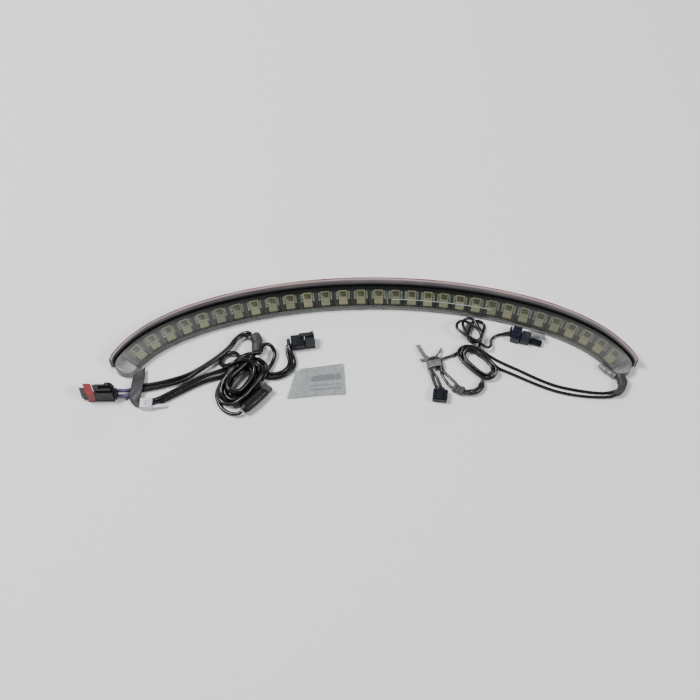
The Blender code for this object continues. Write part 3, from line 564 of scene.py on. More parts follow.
def corner_box(shell, place, low, high, radius=0.2, segments=2):
    """A rounded box from its lowest to its highest corner (millimetres) in a placed frame."""
    low, high = Vector(low) * MM, Vector(high) * MM
    centre = Matrix.Translation((low + high) / 2)
    add_rounded_box(shell, place @ centre, high - low, radius * MM, segments)


def placed(x, y, yaw_degrees=0.0):
    """A frame on the table, turned about the vertical."""
    return Matrix.Translation((x * MM, y * MM, 0.0)) @ Matrix.Rotation(math.radians(yaw_degrees), 4, "Z")


def smooth_route(points, spacing):
    """Evenly spaced points on a smooth curve through the route's points (millimetres)."""
    knots = [Vector(point) * MM for point in points]
    knots = [2 * knots[0] - knots[1]] + knots + [2 * knots[-1] - knots[-2]]
    fine = []
    steps = 16
    for a, b, c, d in zip(knots, knots[1:], knots[2:], knots[3:]):
        for i in range(steps):
            t = i / steps
            fine.append(0.5 * (2 * b + (c - a) * t + (2 * a - 5 * b + 4 * c - d) * t * t
                               + (3 * b - a - 3 * c + d) * t ** 3))
    fine.append(knots[-2])
    return respaced(fine, spacing)


def respaced(fine, spacing):
    """The same line with its points a near-even spacing apart."""
    lengths = [0.0]
    for a, b in zip(fine, fine[1:]):
        lengths.append(lengths[-1] + (b - a).length)
    count = max(3, round(lengths[-1] / spacing))
    spaced = []
    k = 0
    for i in range(count + 1):
        target = lengths[-1] * i / count
        while k < len(lengths) - 2 and lengths[k + 1] < target:
            k += 1
        share = (target - lengths[k]) / max(1e-9, lengths[k + 1] - lengths[k])
        spaced.append(fine[k].lerp(fine[k + 1], share))
    return spaced


def relaxed(points, rounds):
    """Even out small kinks, keeping both ends."""
    for _ in range(rounds):
        inner = [(a + 2 * b + c) / 4 for a, b, c in zip(points, points[1:], points[2:])]
        points = [points[0]] + inner + [points[-1]]
    return points


# ---------------------------------------------------------------- the bar

def lobe_point(side, radius, share):
    """A point on the round end of the lens; side is 1 at the right end and -1 at the left."""
    start = side * HALF_LENGTH
    centre = middle_point(start) + outward(heading(start)) * LENS_CENTRE
    begin = heading(start) if side > 0 else heading(start) + math.pi
    return centre + outward(begin + math.pi * share) * radius


def make_lens(paint):
    """Stacked outlines with a rounded upper edge, hollowed over the boards."""
    count, lobe_steps = 220, 20
    along = stations(-HALF_LENGTH, HALF_LENGTH, count)
    foot_edge = 0.12 * MM
    levels = [(0.0, foot_edge), (foot_edge, 0.0), (LENS_HEIGHT - LENS_FILLET, 0.0)]
    for i in range(1, 6):
        angle = math.radians(90 * i / 5)
        levels.append((LENS_HEIGHT - LENS_FILLET * (1 - math.sin(angle)),
                       LENS_FILLET * (1 - math.cos(angle))))
    shell = bmesh.new()
    loops = []
    for up, inset in levels:
        half = LENS_HALF_WIDTH - inset
        outline = [bar_point(s, LENS_CENTRE + half, 0) for s in along]
        outline += [lobe_point(1, half, i / lobe_steps) for i in range(1, lobe_steps)]
        outline += [bar_point(s, LENS_CENTRE - half, 0) for s in reversed(along)]
        outline += [lobe_point(-1, half, i / lobe_steps) for i in range(1, lobe_steps)]
        loops.append([shell.verts.new(point + Vector((0, 0, up))) for point in outline])
    size = len(loops[0])
    for level, (lower, upper) in enumerate(zip(loops, loops[1:])):
        for i in range(size):
            j = (i + 1) % size
            face = shell.faces.new((lower[i], lower[j], upper[j], upper[i]))
            # The outer wall takes the clear finish. The inner wall and the round ends take the darkened copy,
            # which is painted shade.
            if level < 3:
                face.material_index = 2 if i < count else 1
    inner_start = count + 1 + lobe_steps - 1
    for loop in (loops[0], loops[-1]):
        inner = loop[inner_start:inner_start + count + 1][::-1]
        for i in range(count):
            shell.faces.new((loop[i], loop[i + 1], inner[i + 1], inner[i]))
        shell.faces.new(loop[count:inner_start + 1])
        shell.faces.new(loop[inner_start + count:] + [loop[0]])
    finishes = [paint["lens_roof"], paint["lens_inner"], paint["lens_outer"]]
    lens = finish_mesh("lens_shell", shell, finishes, smooth=40, stands_for=("lens_cover",))
    low = LENS_CENTRE - LENS_HALF_WIDTH + LENS_SIDE_WALL
    high = LENS_CENTRE + LENS_HALF_WIDTH - LENS_SIDE_WALL
    foot_top = RAIL_THICKNESS + 0.25 * MM
    roof = LENS_HEIGHT - LENS_ROOF
    below = -2 * MM
    round_in = 0.5 * MM
    section = [(low, below), (high - below, below), (high - below, foot_top), (high, foot_top),
               (high, roof - round_in), (high - round_in, roof), (low + round_in, roof),
               (low, roof - round_in)]
    cutter_shell = bmesh.new()
    add_loft(cutter_shell, sweep_rings(stations(CAVITY_LEFT_END, CAVITY_RIGHT_END, 160), lambda s: section))
    apply_cut(lens, cutter_shell)


def apply_cut(piece, cutter_shell, operation="DIFFERENCE"):
    """Boolean a piece with a temporary shell and keep the result as its mesh."""
    bmesh.ops.recalc_face_normals(cutter_shell, faces=cutter_shell.faces)
    mesh = bpy.data.meshes.new("cutter")
    cutter_shell.to_mesh(mesh)
    cutter_shell.free()
    cutter = bpy.data.objects.new("cutter", mesh)
    bpy.context.collection.objects.link(cutter)
    modifier = piece.modifiers.new("cut", "BOOLEAN")
    modifier.operation = operation
    modifier.solver = "EXACT"
    modifier.object = cutter
    depsgraph = bpy.context.evaluated_depsgraph_get()
    result = bpy.data.meshes.new_from_object(piece.evaluated_get(depsgraph))
    piece.modifiers.remove(modifier)
    piece.data = result
    bpy.data.objects.remove(cutter, do_unlink=True)


def tape_top(s):
    share = min(1.0, abs(s) / HALF_LENGTH)
    return TAPE_TOP + (TAPE_END_TOP - TAPE_TOP) * share ** 4


def make_rail_and_tape(paint):
    wrap = LENS_HALF_WIDTH * END_WRAP
    shell = bmesh.new()
    foot_to = CAVITY_RIGHT_END - GAP
    foot_from = CAVITY_LEFT_END + GAP
    flange = rounded_rectangle(*FLANGE, 0.0, FLANGE_HEIGHT, 0.12 * MM)
    add_loft(shell, sweep_rings(stations(-HALF_LENGTH - wrap, HALF_LENGTH + wrap, 200), lambda s: flange))
    rail = finish_mesh("rail_profile", shell, paint["rail"], stands_for=("carrier_rail",))
    foot_shell = bmesh.new()
    foot = rounded_rectangle(RAIL_INNER, sum(FLANGE) / 2, 0.0, RAIL_THICKNESS, 0.12 * MM)
    add_loft(foot_shell, sweep_rings(stations(foot_from, foot_to, 160), lambda s: foot))
    apply_cut(rail, foot_shell, "UNION")
    along = stations(-HALF_LENGTH - wrap, HALF_LENGTH + wrap, 260)
    rng = random.Random(7)
    ripple = [rng.uniform(-1, 1) for _ in range(60)]

    def uneven(s, spread):
        place = (s / HALF_LENGTH + 1.2) / 2.4 * (len(ripple) - 2)
        index = int(place)
        share = place - index
        return spread * (ripple[index] * (1 - share) + ripple[index + 1] * share)

    def foam_section(s):
        top = tape_top(s) + uneven(s, 0.06 * MM) - 0.08 * MM
        high = TAPE_SIDES[1] + uneven(s, 0.04 * MM)
        return rounded_rectangle(TAPE_SIDES[0], high, TAPE_BOTTOM, top, 0.18 * MM)

    def liner_section(s):
        top = tape_top(s) + uneven(s + 20 * MM, 0.08 * MM)
        low = LINER_SIDES[0] + uneven(s + 11 * MM, 0.03 * MM)
        return rounded_rectangle(low, low + 0.12 * MM, TAPE_BOTTOM, top, 0.04 * MM, 1)

    shell = bmesh.new()
    add_loft(shell, sweep_rings(along, foam_section))
    finish_mesh("tape_foam", shell, paint["foam"], stands_for=("mounting_tape",))
    shell = bmesh.new()
    add_loft(shell, sweep_rings(along, liner_section))
    finish_mesh("liner_film", shell, paint["liner"], stands_for=("release_liner",))


def make_boards(paint):
    left_end = CAVITY_LEFT_END + END_CLEARANCE
    right_end = CAVITY_RIGHT_END - END_CLEARANCE
    section = rounded_rectangle(*BOARD_SIDES, *BOARD_LEVELS, 0.1 * MM, 1)
    for side, start, end in (("left", left_end, BOARD_JOINT - GAP / 2),
                             ("right", BOARD_JOINT + GAP / 2, right_end)):
        shell = bmesh.new()
        layer = shell.verts.layers.float.new("along")
        along = stations(start, end, 120)
        for s, loop in zip(along, add_loft(shell, sweep_rings(along, lambda s: section))):
            for vert in loop:
                vert[layer] = s / MM
        finish_mesh(side + "_board", shell, paint["board"], stands_for=(side + "_circuit_board",))
    bands, blocks, leads, links = (bmesh.new() for _ in range(4))
    low, high = -3.3 * MM, 3.2 * MM
    for s in LEFT_LAMPS + RIGHT_LAMPS:
        for side in (-1, 1):
            wing = Matrix.Translation((side * (LAMP_LENGTH / 2 + 0.62 * MM), 0, 0))
            add_rounded_box(bands, bar_matrix(s, (low + high) / 2, 2.0 * MM) @ wing,
                            (0.85 * MM, high - low, 0.55 * MM), 0.16 * MM)
            add_rounded_box(blocks, bar_matrix(s, -2.1 * MM, 2.4 * MM) @ wing,
                            (0.9 * MM, 2.1 * MM, 0.6 * MM), 0.08 * MM)
            near = Matrix.Translation((side * (LAMP_LENGTH / 2 + 0.22 * MM), 0, 0))
            for across in (-0.2, 1.4, 2.6):
                add_rounded_box(leads, bar_matrix(s, across * MM, 2.25 * MM) @ near,
                                (0.4 * MM, 0.7 * MM, 0.5 * MM), 0.08 * MM)
    finish_mesh("pad_bands", bands, paint["residue"])
    finish_mesh("lamp_leads", leads, paint["solder"])
    finish_mesh("lamp_end_blocks", blocks, paint["chip"])
    for offset in (-1.5, -0.5, 0.5, 1.5):
        place = bar_matrix(BOARD_JOINT + offset * 0.62 * MM, -0.1 * MM, 1.95 * MM)
        add_rounded_box(links, place, (0.32 * MM, 6.3 * MM, 0.4 * MM), 0.1 * MM)
    finish_mesh("joint_links", links, paint["solder"])
    # Painted reflection: a fine white strand over the right row of lamps stands for a light's reflection
    # along the lens roof.
    rings = []
    along = stations(BOARD_JOINT + 2 * MM, RIGHT_LAMPS[6], 90)
    for s in along:
        centre = bar_point(s, -1.35 * MM - 0.05 * MM * math.sin(s / MM / 9), 3.02 * MM)
        rings.append(oval(centre, outward(heading(s)), UP, 0.12 * MM, 0.12 * MM, 8))
    shell = bmesh.new()
    add_loft(shell, rings)
    finish_mesh("painted_reflection_strand", shell, paint["nylon"])


def add_lamp(bodies, tone_layer, windows, dividers, s, rng):
    """One surface-mounted lamp: rimmed housing, gel window and fine dividers over its dice."""
    bottom, top = LAMP_LEVELS
    low, high = LAMP_SIDES
    half = LAMP_LENGTH / 2
    window_x, window_y = WINDOW_SIZE[0] / 2, WINDOW_SIZE[1] / 2
    place = bar_matrix(s)
    tone = rng.random()

    def ring(x0, x1, y0, y1, z, corner):
        pairs = rounded_rectangle(x0, x1, y0, y1, corner)
        return [place @ Vector((x, y, z)) for x, y in pairs]

    edge = 0.14 * MM
    yc = WINDOW_CENTRE
    depth = 0.28 * MM
    lip = 0.12 * MM
    rings = [ring(-half, half, low, high, bottom, edge),
             ring(-half, half, low, high, top - 0.12 * MM, edge),
             ring(-half + 0.1 * MM, half - 0.1 * MM, low + 0.1 * MM, high - 0.1 * MM, top, edge),
             ring(-window_x, window_x, yc - window_y, yc + window_y, top, 0.25 * MM),
             ring(lip - window_x, window_x - lip, yc - window_y + lip, yc + window_y - lip,
                  top - depth, 0.2 * MM)]
    for loop in add_loft(bodies, rings):
        for vert in loop:
            vert[tone_layer] = tone
    gel_size = (WINDOW_SIZE[0] - 0.24 * MM, WINDOW_SIZE[1] - 0.24 * MM, 0.24 * MM)
    add_rounded_box(windows, place @ Matrix.Translation((0, yc, top - 0.17 * MM)), gel_size, 0.05 * MM)
    for x in (-0.75, -0.35):
        bar = place @ Matrix.Translation((x * MM, yc, top - 0.07 * MM))
        add_rounded_box(dividers, bar, (0.14 * MM, WINDOW_SIZE[1] - 0.5 * MM, 0.08 * MM), 0.02 * MM, 1)
    groove = place @ Matrix.Translation((0, -1.0 * MM, top + 0.01 * MM))
    add_rounded_box(dividers, groove, (2.9 * MM, 0.09 * MM, 0.06 * MM), 0.02 * MM, 1)
    for x in (-0.9, 0.0, 0.9):
        dot = place @ Matrix.Translation((x * MM, -2.35 * MM, top + 0.01 * MM))
        add_rounded_box(dividers, dot, (0.2 * MM, 0.2 * MM, 0.06 * MM), 0.02 * MM, 1)


def make_lamps(paint):
    rng = random.Random(3)
    windows = bmesh.new()
    dividers = bmesh.new()
    for side, row in (("left", LEFT_LAMPS), ("right", RIGHT_LAMPS)):
        bodies = bmesh.new()
        tone_layer = bodies.verts.layers.float.new("tone")
        for s in row:
            add_lamp(bodies, tone_layer, windows, dividers, s, rng)
        finish_mesh(side + "_lamp_bodies", bodies, paint["lamp"], stands_for=(side + "_led_row",))
    finish_mesh("lamp_windows", windows, paint["window"])
    finish_mesh("lamp_markings", dividers, paint["nose"])


# ---------------------------------------------------------------- cords

# How the wires settle: each round they sink, are pulled home a little, straighten and push apart
SETTLE_ROUNDS = 230
SETTLE_SINK = 0.012 * MM
SETTLE_HOME = 0.028
SETTLE_BEND = 5.8
SETTLE_STRETCH = 0.35
NEIGHBOURS_EVERY = 6
FLOOR_GAP = 0.04 * MM


def settled(routes, solids):
    """Let wires that start roughly in place slide apart until they lie on and beside each other.

    Each route is (points, radius, points held at the start, points held at the end, held places), where
    a held place is (x, y, reach) in millimetres. Routes keep their length and are kept from tight bends.
    Solids are (points, radius) and don't move.
    """
    spots, radii, owner, loose = [], [], [], []
    for index, (points, radius, *held) in enumerate(list(routes) + list(solids)):
        places = held[2] if held else ()
        for k, point in enumerate(points):
            kept = any(math.hypot(point.x - x * MM, point.y - y * MM) < reach * MM for x, y, reach in places)
            spots.append(tuple(point))
            radii.append(radius)
            owner.append(index)
            loose.append(bool(held) and held[0] <= k < len(points) - held[1] and not kept)
    spots, radii, owner, loose = np.array(spots), np.array(radii), np.array(owner), np.array(loose)
    wanted = spots.copy()
    order = np.arange(len(spots))
    joined = np.where(owner[1:] == owner[:-1])[0]
    rest = np.linalg.norm(spots[joined + 1] - spots[joined], axis=1)
    inside = np.where(loose & (owner == np.roll(owner, 3)) & (owner == np.roll(owner, -3)))[0]
    for turn in range(SETTLE_ROUNDS):
        if turn % NEIGHBOURS_EVERY == 0:
            gaps = np.linalg.norm(spots[:, None, :] - spots[None, :, :], axis=2)
            near = gaps < (radii[:, None] + radii[None, :]) * 1.6
            apart = (owner[:, None] != owner[None, :]) | (np.abs(order[:, None] - order[None, :]) > 9)
            first, second = np.where(np.triu(near & apart & (loose[:, None] | loose[None, :]), 1))
        spots[loose, 2] -= SETTLE_SINK
        spots[loose, :2] += (wanted[loose, :2] - spots[loose, :2]) * SETTLE_HOME
        for reach in (3, 2, 1):
            arm = np.linalg.norm(spots[inside + reach] - spots[inside - reach], axis=1) / 2
            sag = (spots[inside + reach] + spots[inside - reach]) / 2 - spots[inside]
            size = np.linalg.norm(sag, axis=1) + 1e-12
            most = arm ** 2 / (2 * radii[inside] * SETTLE_BEND)
            spots[inside] += sag * (np.clip(1 - most / size, 0.05, 1) * 0.7)[:, None]
        between = spots[first] - spots[second]
        gap = np.linalg.norm(between, axis=1) + 1e-12
        short = radii[first] + radii[second] - gap
        hit = short > 0
        push = between[hit] / gap[hit, None] * short[hit, None] * 0.5
        count = np.zeros(len(spots))
        shift = np.zeros_like(spots)
        for ends, sign in ((first[hit], 1), (second[hit], -1)):
            np.add.at(shift, ends, push * sign)
            np.add.at(count, ends, 1)
        moved = loose & (count > 0)
        spots[moved] += shift[moved] / np.maximum(1, count[moved, None] * 0.5)
        along = spots[joined + 1] - spots[joined]
        size = np.linalg.norm(along, axis=1) + 1e-12
        pull = along * ((size - rest) / size * SETTLE_STRETCH)[:, None]
        spots[joined] += pull * loose[joined, None]
        spots[joined + 1] -= pull * loose[joined + 1, None]
        spots[loose, 2] = np.maximum(spots[loose, 2], radii[loose] + FLOOR_GAP)
    return [[Vector(point) for point in spots[owner == index]] for index in range(len(routes))]


def make_cord(name, points, diameter, paint, finish, replaced):
    """A wire along evenly spaced points."""
    curve = bpy.data.curves.new(name, "CURVE")
    curve.dimensions = "3D"
    curve.bevel_depth = diameter / 2
    curve.bevel_resolution = 3
    curve.use_fill_caps = True
    spline = curve.splines.new("POLY")
    spline.points.add(len(points) - 1)
    for point, place in zip(spline.points, points):
        point.co = (*place, 1.0)
    spline.use_smooth = True
    piece = bpy.data.objects.new(name, curve)
    bpy.context.collection.objects.link(piece)
    curve.materials.append(paint[finish])
    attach(piece, BAR)
    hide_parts(*replaced)


def mixed(pair, share):
    return pair[0] + (pair[1] - pair[0]) * share


def loops(first, second, radii_first, radii_second, heights, start, end, sway=0.0, per_turn=24):
    """Turns of wire round two centres (millimetres) from one bearing to another, in degrees.

    A falling bearing runs clockwise seen from above. Radii and heights change evenly on the way, and
    each turn lies a little to one side of the last, by the sway.
    """
    points = []
    count = max(3, round(abs(end - start) / 360 * per_turn))
    a, b = Vector(first), Vector(second)
    axis = (b - a).normalized()
    aside = Vector((-axis.y, axis.x))
    for i in range(count + 1):
        share = i / count
        bearing = math.radians(start + (end - start) * share)
        direction = Vector((math.cos(bearing), math.sin(bearing)))
        weight = 0.5 + 0.5 * max(-1.0, min(1.0, direction.dot(axis) * 2.0))
        radius = mixed(radii_first, share) * (1 - weight) + mixed(radii_second, share) * weight
        offset = sway * math.sin(math.radians(end - start) * share / 2) * (1 - weight / 2)
        spot = a.lerp(b, weight) + direction * radius + aside * offset
        points.append((spot.x, spot.y, mixed(heights, share)))
    return points


LEFT_FEED_A = [(-49.3, -2.4, 2.0), (-51.0, -1.5, 1.4), (-53.2, -2.1, 0.9), (-55.7, -4.5, 0.86),
               (-58.0, -8.0, 0.86), (-62.3, -12.4, 0.86), (-69.8, -18.3, 0.86), (-75.5, -21.4, 0.86),
               (-83.6, -24.0, 0.86), (-91.2, -25.7, 0.86), (-94.6, -26.9, 0.9), (-96.6, -28.0, 1.5),
               (-98.2, -28.7, 2.5), (-100.4, -29.1, 3.3)]
LEFT_FEED_B = [(-50.2, -4.0, 2.2), (-51.6, -3.2, 2.4), (-53.1, -3.6, 2.4), (-54.9, -5.2, 2.35),
               (-57.1, -8.8, 2.3), (-61.6, -13.3, 2.3), (-69.2, -19.6, 2.0), (-75.1, -23.3, 1.2),
               (-83.5, -26.0, 0.86), (-90.8, -27.7, 0.86), (-94.4, -29.0, 0.9), (-96.7, -30.1, 1.2),
               (-98.4, -30.8, 2.0), (-100.4, -31.1, 2.6)]
LEFT_LEAD_A = [(-87.4, -32.7, 1.6), (-84.0, -31.2, 1.0), (-80.5, -28.9, 0.86), (-72.5, -24.3, 0.86),
               (-66.1, -20.8, 0.86), (-61.0, -18.7, 0.86), (-57.4, -17.6, 0.86)]
LEFT_LEAD_B = [(-87.4, -34.5, 1.6), (-83.4, -33.0, 1.0), (-79.6, -30.9, 0.86), (-74.0, -27.6, 0.86),
               (-68.0, -24.3, 0.86), (-63.4, -22.3, 0.86), (-59.8, -21.5, 0.86)]
LEFT_OUT_A = [(-41.0, -20.6, 0.9), (-38.2, -20.6, 0.86), (-36.0, -19.8, 0.86), (-34.1, -18.2, 0.86),
              (-32.7, -16.4, 0.86), (-32.9, -14.6, 0.86), (-34.1, -12.0, 0.9), (-34.7, -9.6, 1.1),
              (-34.3, -7.6, 1.5)]
LEFT_OUT_B = [(-41.4, -22.9, 0.9), (-38.5, -22.5, 0.86), (-35.6, -21.5, 0.86), (-33.4, -20.2, 0.86),
              (-31.6, -18.0, 0.86), (-30.4, -15.9, 0.9), (-31.4, -13.6, 1.5), (-32.9, -11.4, 2.3),
              (-33.6, -9.4, 2.8), (-33.9, -7.4, 2.9)]
LINK_RIGHT = [(-44.4, -13.4, 5.0), (-44.7, -11.2, 5.0), (-43.9, -9.0, 4.6), (-42.1, -7.9, 3.6),
              (-40.3, -8.9, 2.6), (-39.4, -11.0, 1.8), (-39.5, -13.6, 1.3), (-40.8, -16.6, 1.2)]
LINK_LEFT = [(-54.4, -17.4, 5.0), (-53.2, -14.8, 4.2), (-54.2, -12.2, 3.0), (-56.8, -11.0, 1.8),
             (-59.4, -11.9, 1.0), (-60.9, -14.4, 1.0), (-60.6, -17.2, 2.8), (-58.2, -19.0, 5.2)]
LINK_KEPT = [(-57.4, -14.6, 4.8), (-42.2, -11.0, 3.6)]
LINK_TAIL = [(-51.4, -37.6, 2.2), (-53.2, -38.6, 1.7), (-55.8, -38.4, 1.0), (-58.4, -37.0, 1.0),
             (-60.6, -34.8, 1.1)]
GRAY_SPLICE = [(-48.2, -3.3, 2.3), (-47.1, -4.6, 2.3), (-46.5, -7.4, 2.3), (-46.5, -11.1, 2.3)]
BLACK_SPLICE = [(-41.4, -26.6, 2.35), (-43.7, -29.4, 2.35), (-47.5, -33.5, 2.35), (-51.2, -37.0, 2.35)]
HANK_TOP = (-48.9, -18.7)
HANK_BOTTOM = (-56.2, -29.6)


def left_loops(radii_top, radii_bottom, heights, start, end, sway=0.0):
    return loops(HANK_TOP, HANK_BOTTOM, radii_top, radii_bottom, heights, start, end, sway)


def make_left_cords(paint):
    step = 0.7 * MM
    upper = LEFT_LEAD_A + left_loops((5.2, 3.9), (4.4, 3.7), (1.0, 2.8), 128, 60 - 720, 2.0)
    upper += [(-46.6, -17.4, 1.4), (-45.4, -19.2, 1.0), (-43.4, -20.4, 0.9)] + LEFT_OUT_A
    lower = LEFT_LEAD_B + left_loops((5.0, 4.0), (4.2, 3.9), (2.2, 3.8), 142, 48 - 720, -1.7)
    lower += [(-45.4, -19.0, 2.4), (-44.9, -21.2, 1.4), (-43.9, -22.6, 1.0)] + LEFT_OUT_B[1:]
    link = LINK_TAIL + left_loops((6.8, 6.0), (6.2, 5.0), (2.0, 5.2), 172, 66 - 360)
    link += LINK_RIGHT
    link += left_loops((6.4, 5.2), (5.6, 4.4), (1.8, 5.6), 345, 142) + LINK_LEFT
    link += [(-55.2, -18.4, 6.8), (-52.2, -16.4, 7.0)]
    link += left_loops((3.6, 3.6), (3.6, 3.5), (6.9, 6.8), 86, 146 - 360)
    link += [(-52.4, -19.6, 6.4), (-49.8, -16.9, 5.6), (-47.8, -14.1, 4.2), (-46.7, -11.6, 2.8),
             (-46.5, -8.6, 2.3)]
    sleeves = [(smooth_route(GRAY_SPLICE, step), 2.0 * MM), (smooth_route(BLACK_SPLICE, step), 2.1 * MM)]
    ends = ((upper, 4, 8, ()), (lower, 4, 8, ()), (link, 5, 5, LINK_KEPT))
    wires = [(relaxed(smooth_route(route, step), 3), LEFT_WIRE / 2, *held) for route, *held in ends]
    upper, lower, link = [respaced(relaxed(line, 2), 0.6 * MM) for line in settled(wires, sleeves)]
    for name, route, node in (("left_feed_upper", LEFT_FEED_A, "left_feed_a"),
                              ("left_feed_lower", LEFT_FEED_B, "left_feed_b")):
        make_cord(name, smooth_route(route, 0.6 * MM), LEFT_WIRE, paint, "violet_wire", [node])
    make_cord("left_lead_upper", upper, LEFT_WIRE, paint, "black_wire",
              ["left_lead_a", "left_out_a", "left_hank"])
    make_cord("left_lead_lower", lower, LEFT_WIRE, paint, "black_wire",
              ["left_lead_b", "left_out_b"])
    make_cord("left_link", link, LEFT_WIRE, paint, "black_wire",
              ["left_link_right", "left_link_left", "left_link_tail"])


RIGHT_LEAD_A = [(95.6, -29.6, 1.5), (94.0, -30.5, 1.0), (91.6, -30.7, 0.7), (83.0, -30.3, 0.66),
                (73.5, -28.5, 0.66), (65.7, -25.5, 0.66), (57.6, -21.5, 0.66), (52.4, -18.9, 0.8)]
RIGHT_LEAD_B = [(95.6, -28.2, 1.8), (94.0, -28.6, 1.5), (91.2, -28.9, 0.8), (86.0, -28.6, 0.66),
                (73.9, -26.2, 0.66), (65.8, -22.9, 0.66), (58.2, -18.7, 0.9), (50.8, -14.9, 1.7)]
RIGHT_PIGTAIL = [(47.3, -7.2, 1.7), (47.2, -5.4, 1.1), (48.0, -3.7, 0.7), (49.9, -2.4, 0.66),
                 (52.4, -1.9, 1.0), (55.4, -1.5, 1.6)]
RIGHT_OUT = [(31.2, -12.4, 0.7), (29.5, -12.3, 0.7), (27.9, -13.3, 0.7), (25.8, -14.6, 1.0)]
JACKET_LOOP = [(42.7, -24.9, 1.4), (42.0, -26.8, 1.36), (40.0, -28.4, 1.36), (37.3, -28.9, 1.36)]
CORE_A = [(32.1, -24.1, 1.1), (30.9, -22.5, 0.75), (29.4, -20.7, 0.66), (27.9, -19.1, 0.66),
          (26.6, -17.8, 0.8)]
CORE_B = [(29.9, -25.8, 1.1), (29.0, -24.0, 0.75), (27.8, -22.0, 0.66), (26.9, -20.3, 0.66),
          (25.9, -18.9, 0.8)]
DROP_A = [(24.3, -19.0, 0.8), (24.9, -21.0, 0.66), (25.6, -23.2, 0.8), (26.4, -26.6, 1.5)]
DROP_B = [(22.9, -18.0, 0.8), (23.0, -20.4, 0.66), (23.6, -23.2, 0.8), (24.5, -26.4, 1.5)]
KNOT_A = [(27.3, -17.4, 0.8), (27.2, -15.6, 1.0), (26.2, -13.9, 1.1), (24.5, -13.2, 1.1), (22.8, -13.9, 1.0),
          (21.8, -15.6, 1.0), (22.0, -17.8, 0.8)]
KNOT_B = [(26.7, -18.4, 1.6), (27.1, -16.6, 2.2), (26.6, -14.6, 2.3), (25.1, -13.4, 2.3), (23.4, -13.5, 2.3),
          (22.1, -14.9, 2.3), (22.0, -16.9, 2.0), (22.9, -18.8, 1.5), (24.1, -20.4, 0.9)]
HANK_NEAR = (37.2, -10.8)
HANK_FAR = (46.0, -19.6)
FAN_GATE = (42.7, -7.7, 2.4)
FAN_BASE = (40.8, -3.6)
FAN_TIPS = [(42.4, 1.4), (39.0, 1.8), (36.4, -0.2)]


def make_right_cords(paint):
    step = 0.6 * MM
    lower = RIGHT_LEAD_A + loops(HANK_NEAR, HANK_FAR, (3.9, 3.1), (4.0, 3.0), (0.8, 2.0), 20, 150 + 720, 0.9)
    lower += [(32.7, -11.3, 0.9)] + RIGHT_OUT
    upper = RIGHT_LEAD_B + [(46.5, -12.0, 3.0), (42.6, -9.2, 4.0)]
    upper += loops(HANK_NEAR, HANK_FAR, (3.6, 3.4), (4.0, 3.4), (4.0, 3.4), 90, 50 + 720, -0.9)
    upper += [(42.1, -9.9, 3.6), FAN_GATE, (43.1, -5.4, 1.3)]
    for index, tip in enumerate(FAN_TIPS):
        start, end = 10 if index == 0 else -40, 233 if index == 2 else 300
        heights = (0.7 + 1.26 * index, 1.96 + 1.26 * index)
        upper += loops(FAN_BASE, tip, (2.9, 2.9), (3.0, 3.0), heights, start, end, per_turn=36)
    upper += [(41.2, -7.0, 4.3), (43.2, -8.4, 4.0), (45.2, -9.4, 3.2), (46.8, -8.9, 2.4)] + RIGHT_PIGTAIL
    jacket = (smooth_route(JACKET_LOOP, step), 1.2 * MM)
    lower, upper = [relaxed(smooth_route(route, step), 3) for route in (lower, upper)]
    gate = min(range(len(upper)), key=lambda k: (upper[k] - Vector(FAN_GATE) * MM).length)
    fan = upper[gate:]
    wires = [(lower, RIGHT_WIRE / 2, 4, 6, ()), (upper[:gate + 1], RIGHT_WIRE / 2, 4, 6, ())]
    lower, upper = settled(wires, [jacket, (fan[10:], RIGHT_WIRE / 2)])
    lower, upper = [respaced(relaxed(line, 3), 0.5 * MM) for line in (lower, upper[:-1] + fan)]
    make_cord("right_lead_lower", lower, RIGHT_WIRE, paint, "black_wire",
              ["right_lead_a", "right_hank", "right_out"])
    make_cord("right_lead_upper", upper, RIGHT_WIRE, paint, "black_wire",
              ["right_lead_b", "right_pigtail", "right_fan"])
    for name, core, knot, drop, side, nodes in (
            ("right_core_upper", CORE_A, KNOT_A, DROP_B, 0.62, ["right_core_a", "right_drop_a"]),
            ("right_core_lower", CORE_B, KNOT_B, DROP_A, -0.62, ["right_core_b", "right_drop_b"])):
        hidden = [(43.4 + side, -22.6, 1.3)]
        for (x, y, z), (dx, dy) in zip(JACKET_LOOP, ((0.9, -0.3), (0.8, -0.6), (0.5, -0.85), (0.2, -1.0))):
            hidden.append((x - dx * side, y - dy * side, z))
        hidden.append((34.4, -28.0 + side * 0.9, 1.4))
        line = relaxed(smooth_route(hidden + core[:-1] + knot + drop[1:], 0.5 * MM), 6)
        make_cord(name, line, RIGHT_WIRE, paint, "gray_wire", nodes)


# ---------------------------------------------------------------- sleeves, ties and labels

def add_tube(shell, points, radius_at, flat=1.0, sides=16):
    """A round or flattened tube along points in metres; radius_at(share) gives its radius in millimetres."""
    rings = []
    for k, point in enumerate(points):
        radius = radius_at(k / (len(points) - 1)) * MM
        rings.append(oval(point, *across_line(points, k), radius, radius * flat, sides))
    return add_loft(shell, rings)


def strip_lines(stations_mm, spacing=0.5):
    """The two edges of a strip, smoothly, as pairs of points in metres."""
    first = [(*a, z) for a, b, z in stations_mm]
    second = [(*b, z) for a, b, z in stations_mm]
    size = sum((Vector(a) - Vector(b)).length for a, b in zip(first, first[1:]))
    count = max(8, round(size / spacing))
    lines = [smooth_route(line, 0.1 * MM) for line in (first, second)]
    return [[line[round(k * (len(line) - 1) / count)] for line in lines] for k in range(count + 1)]


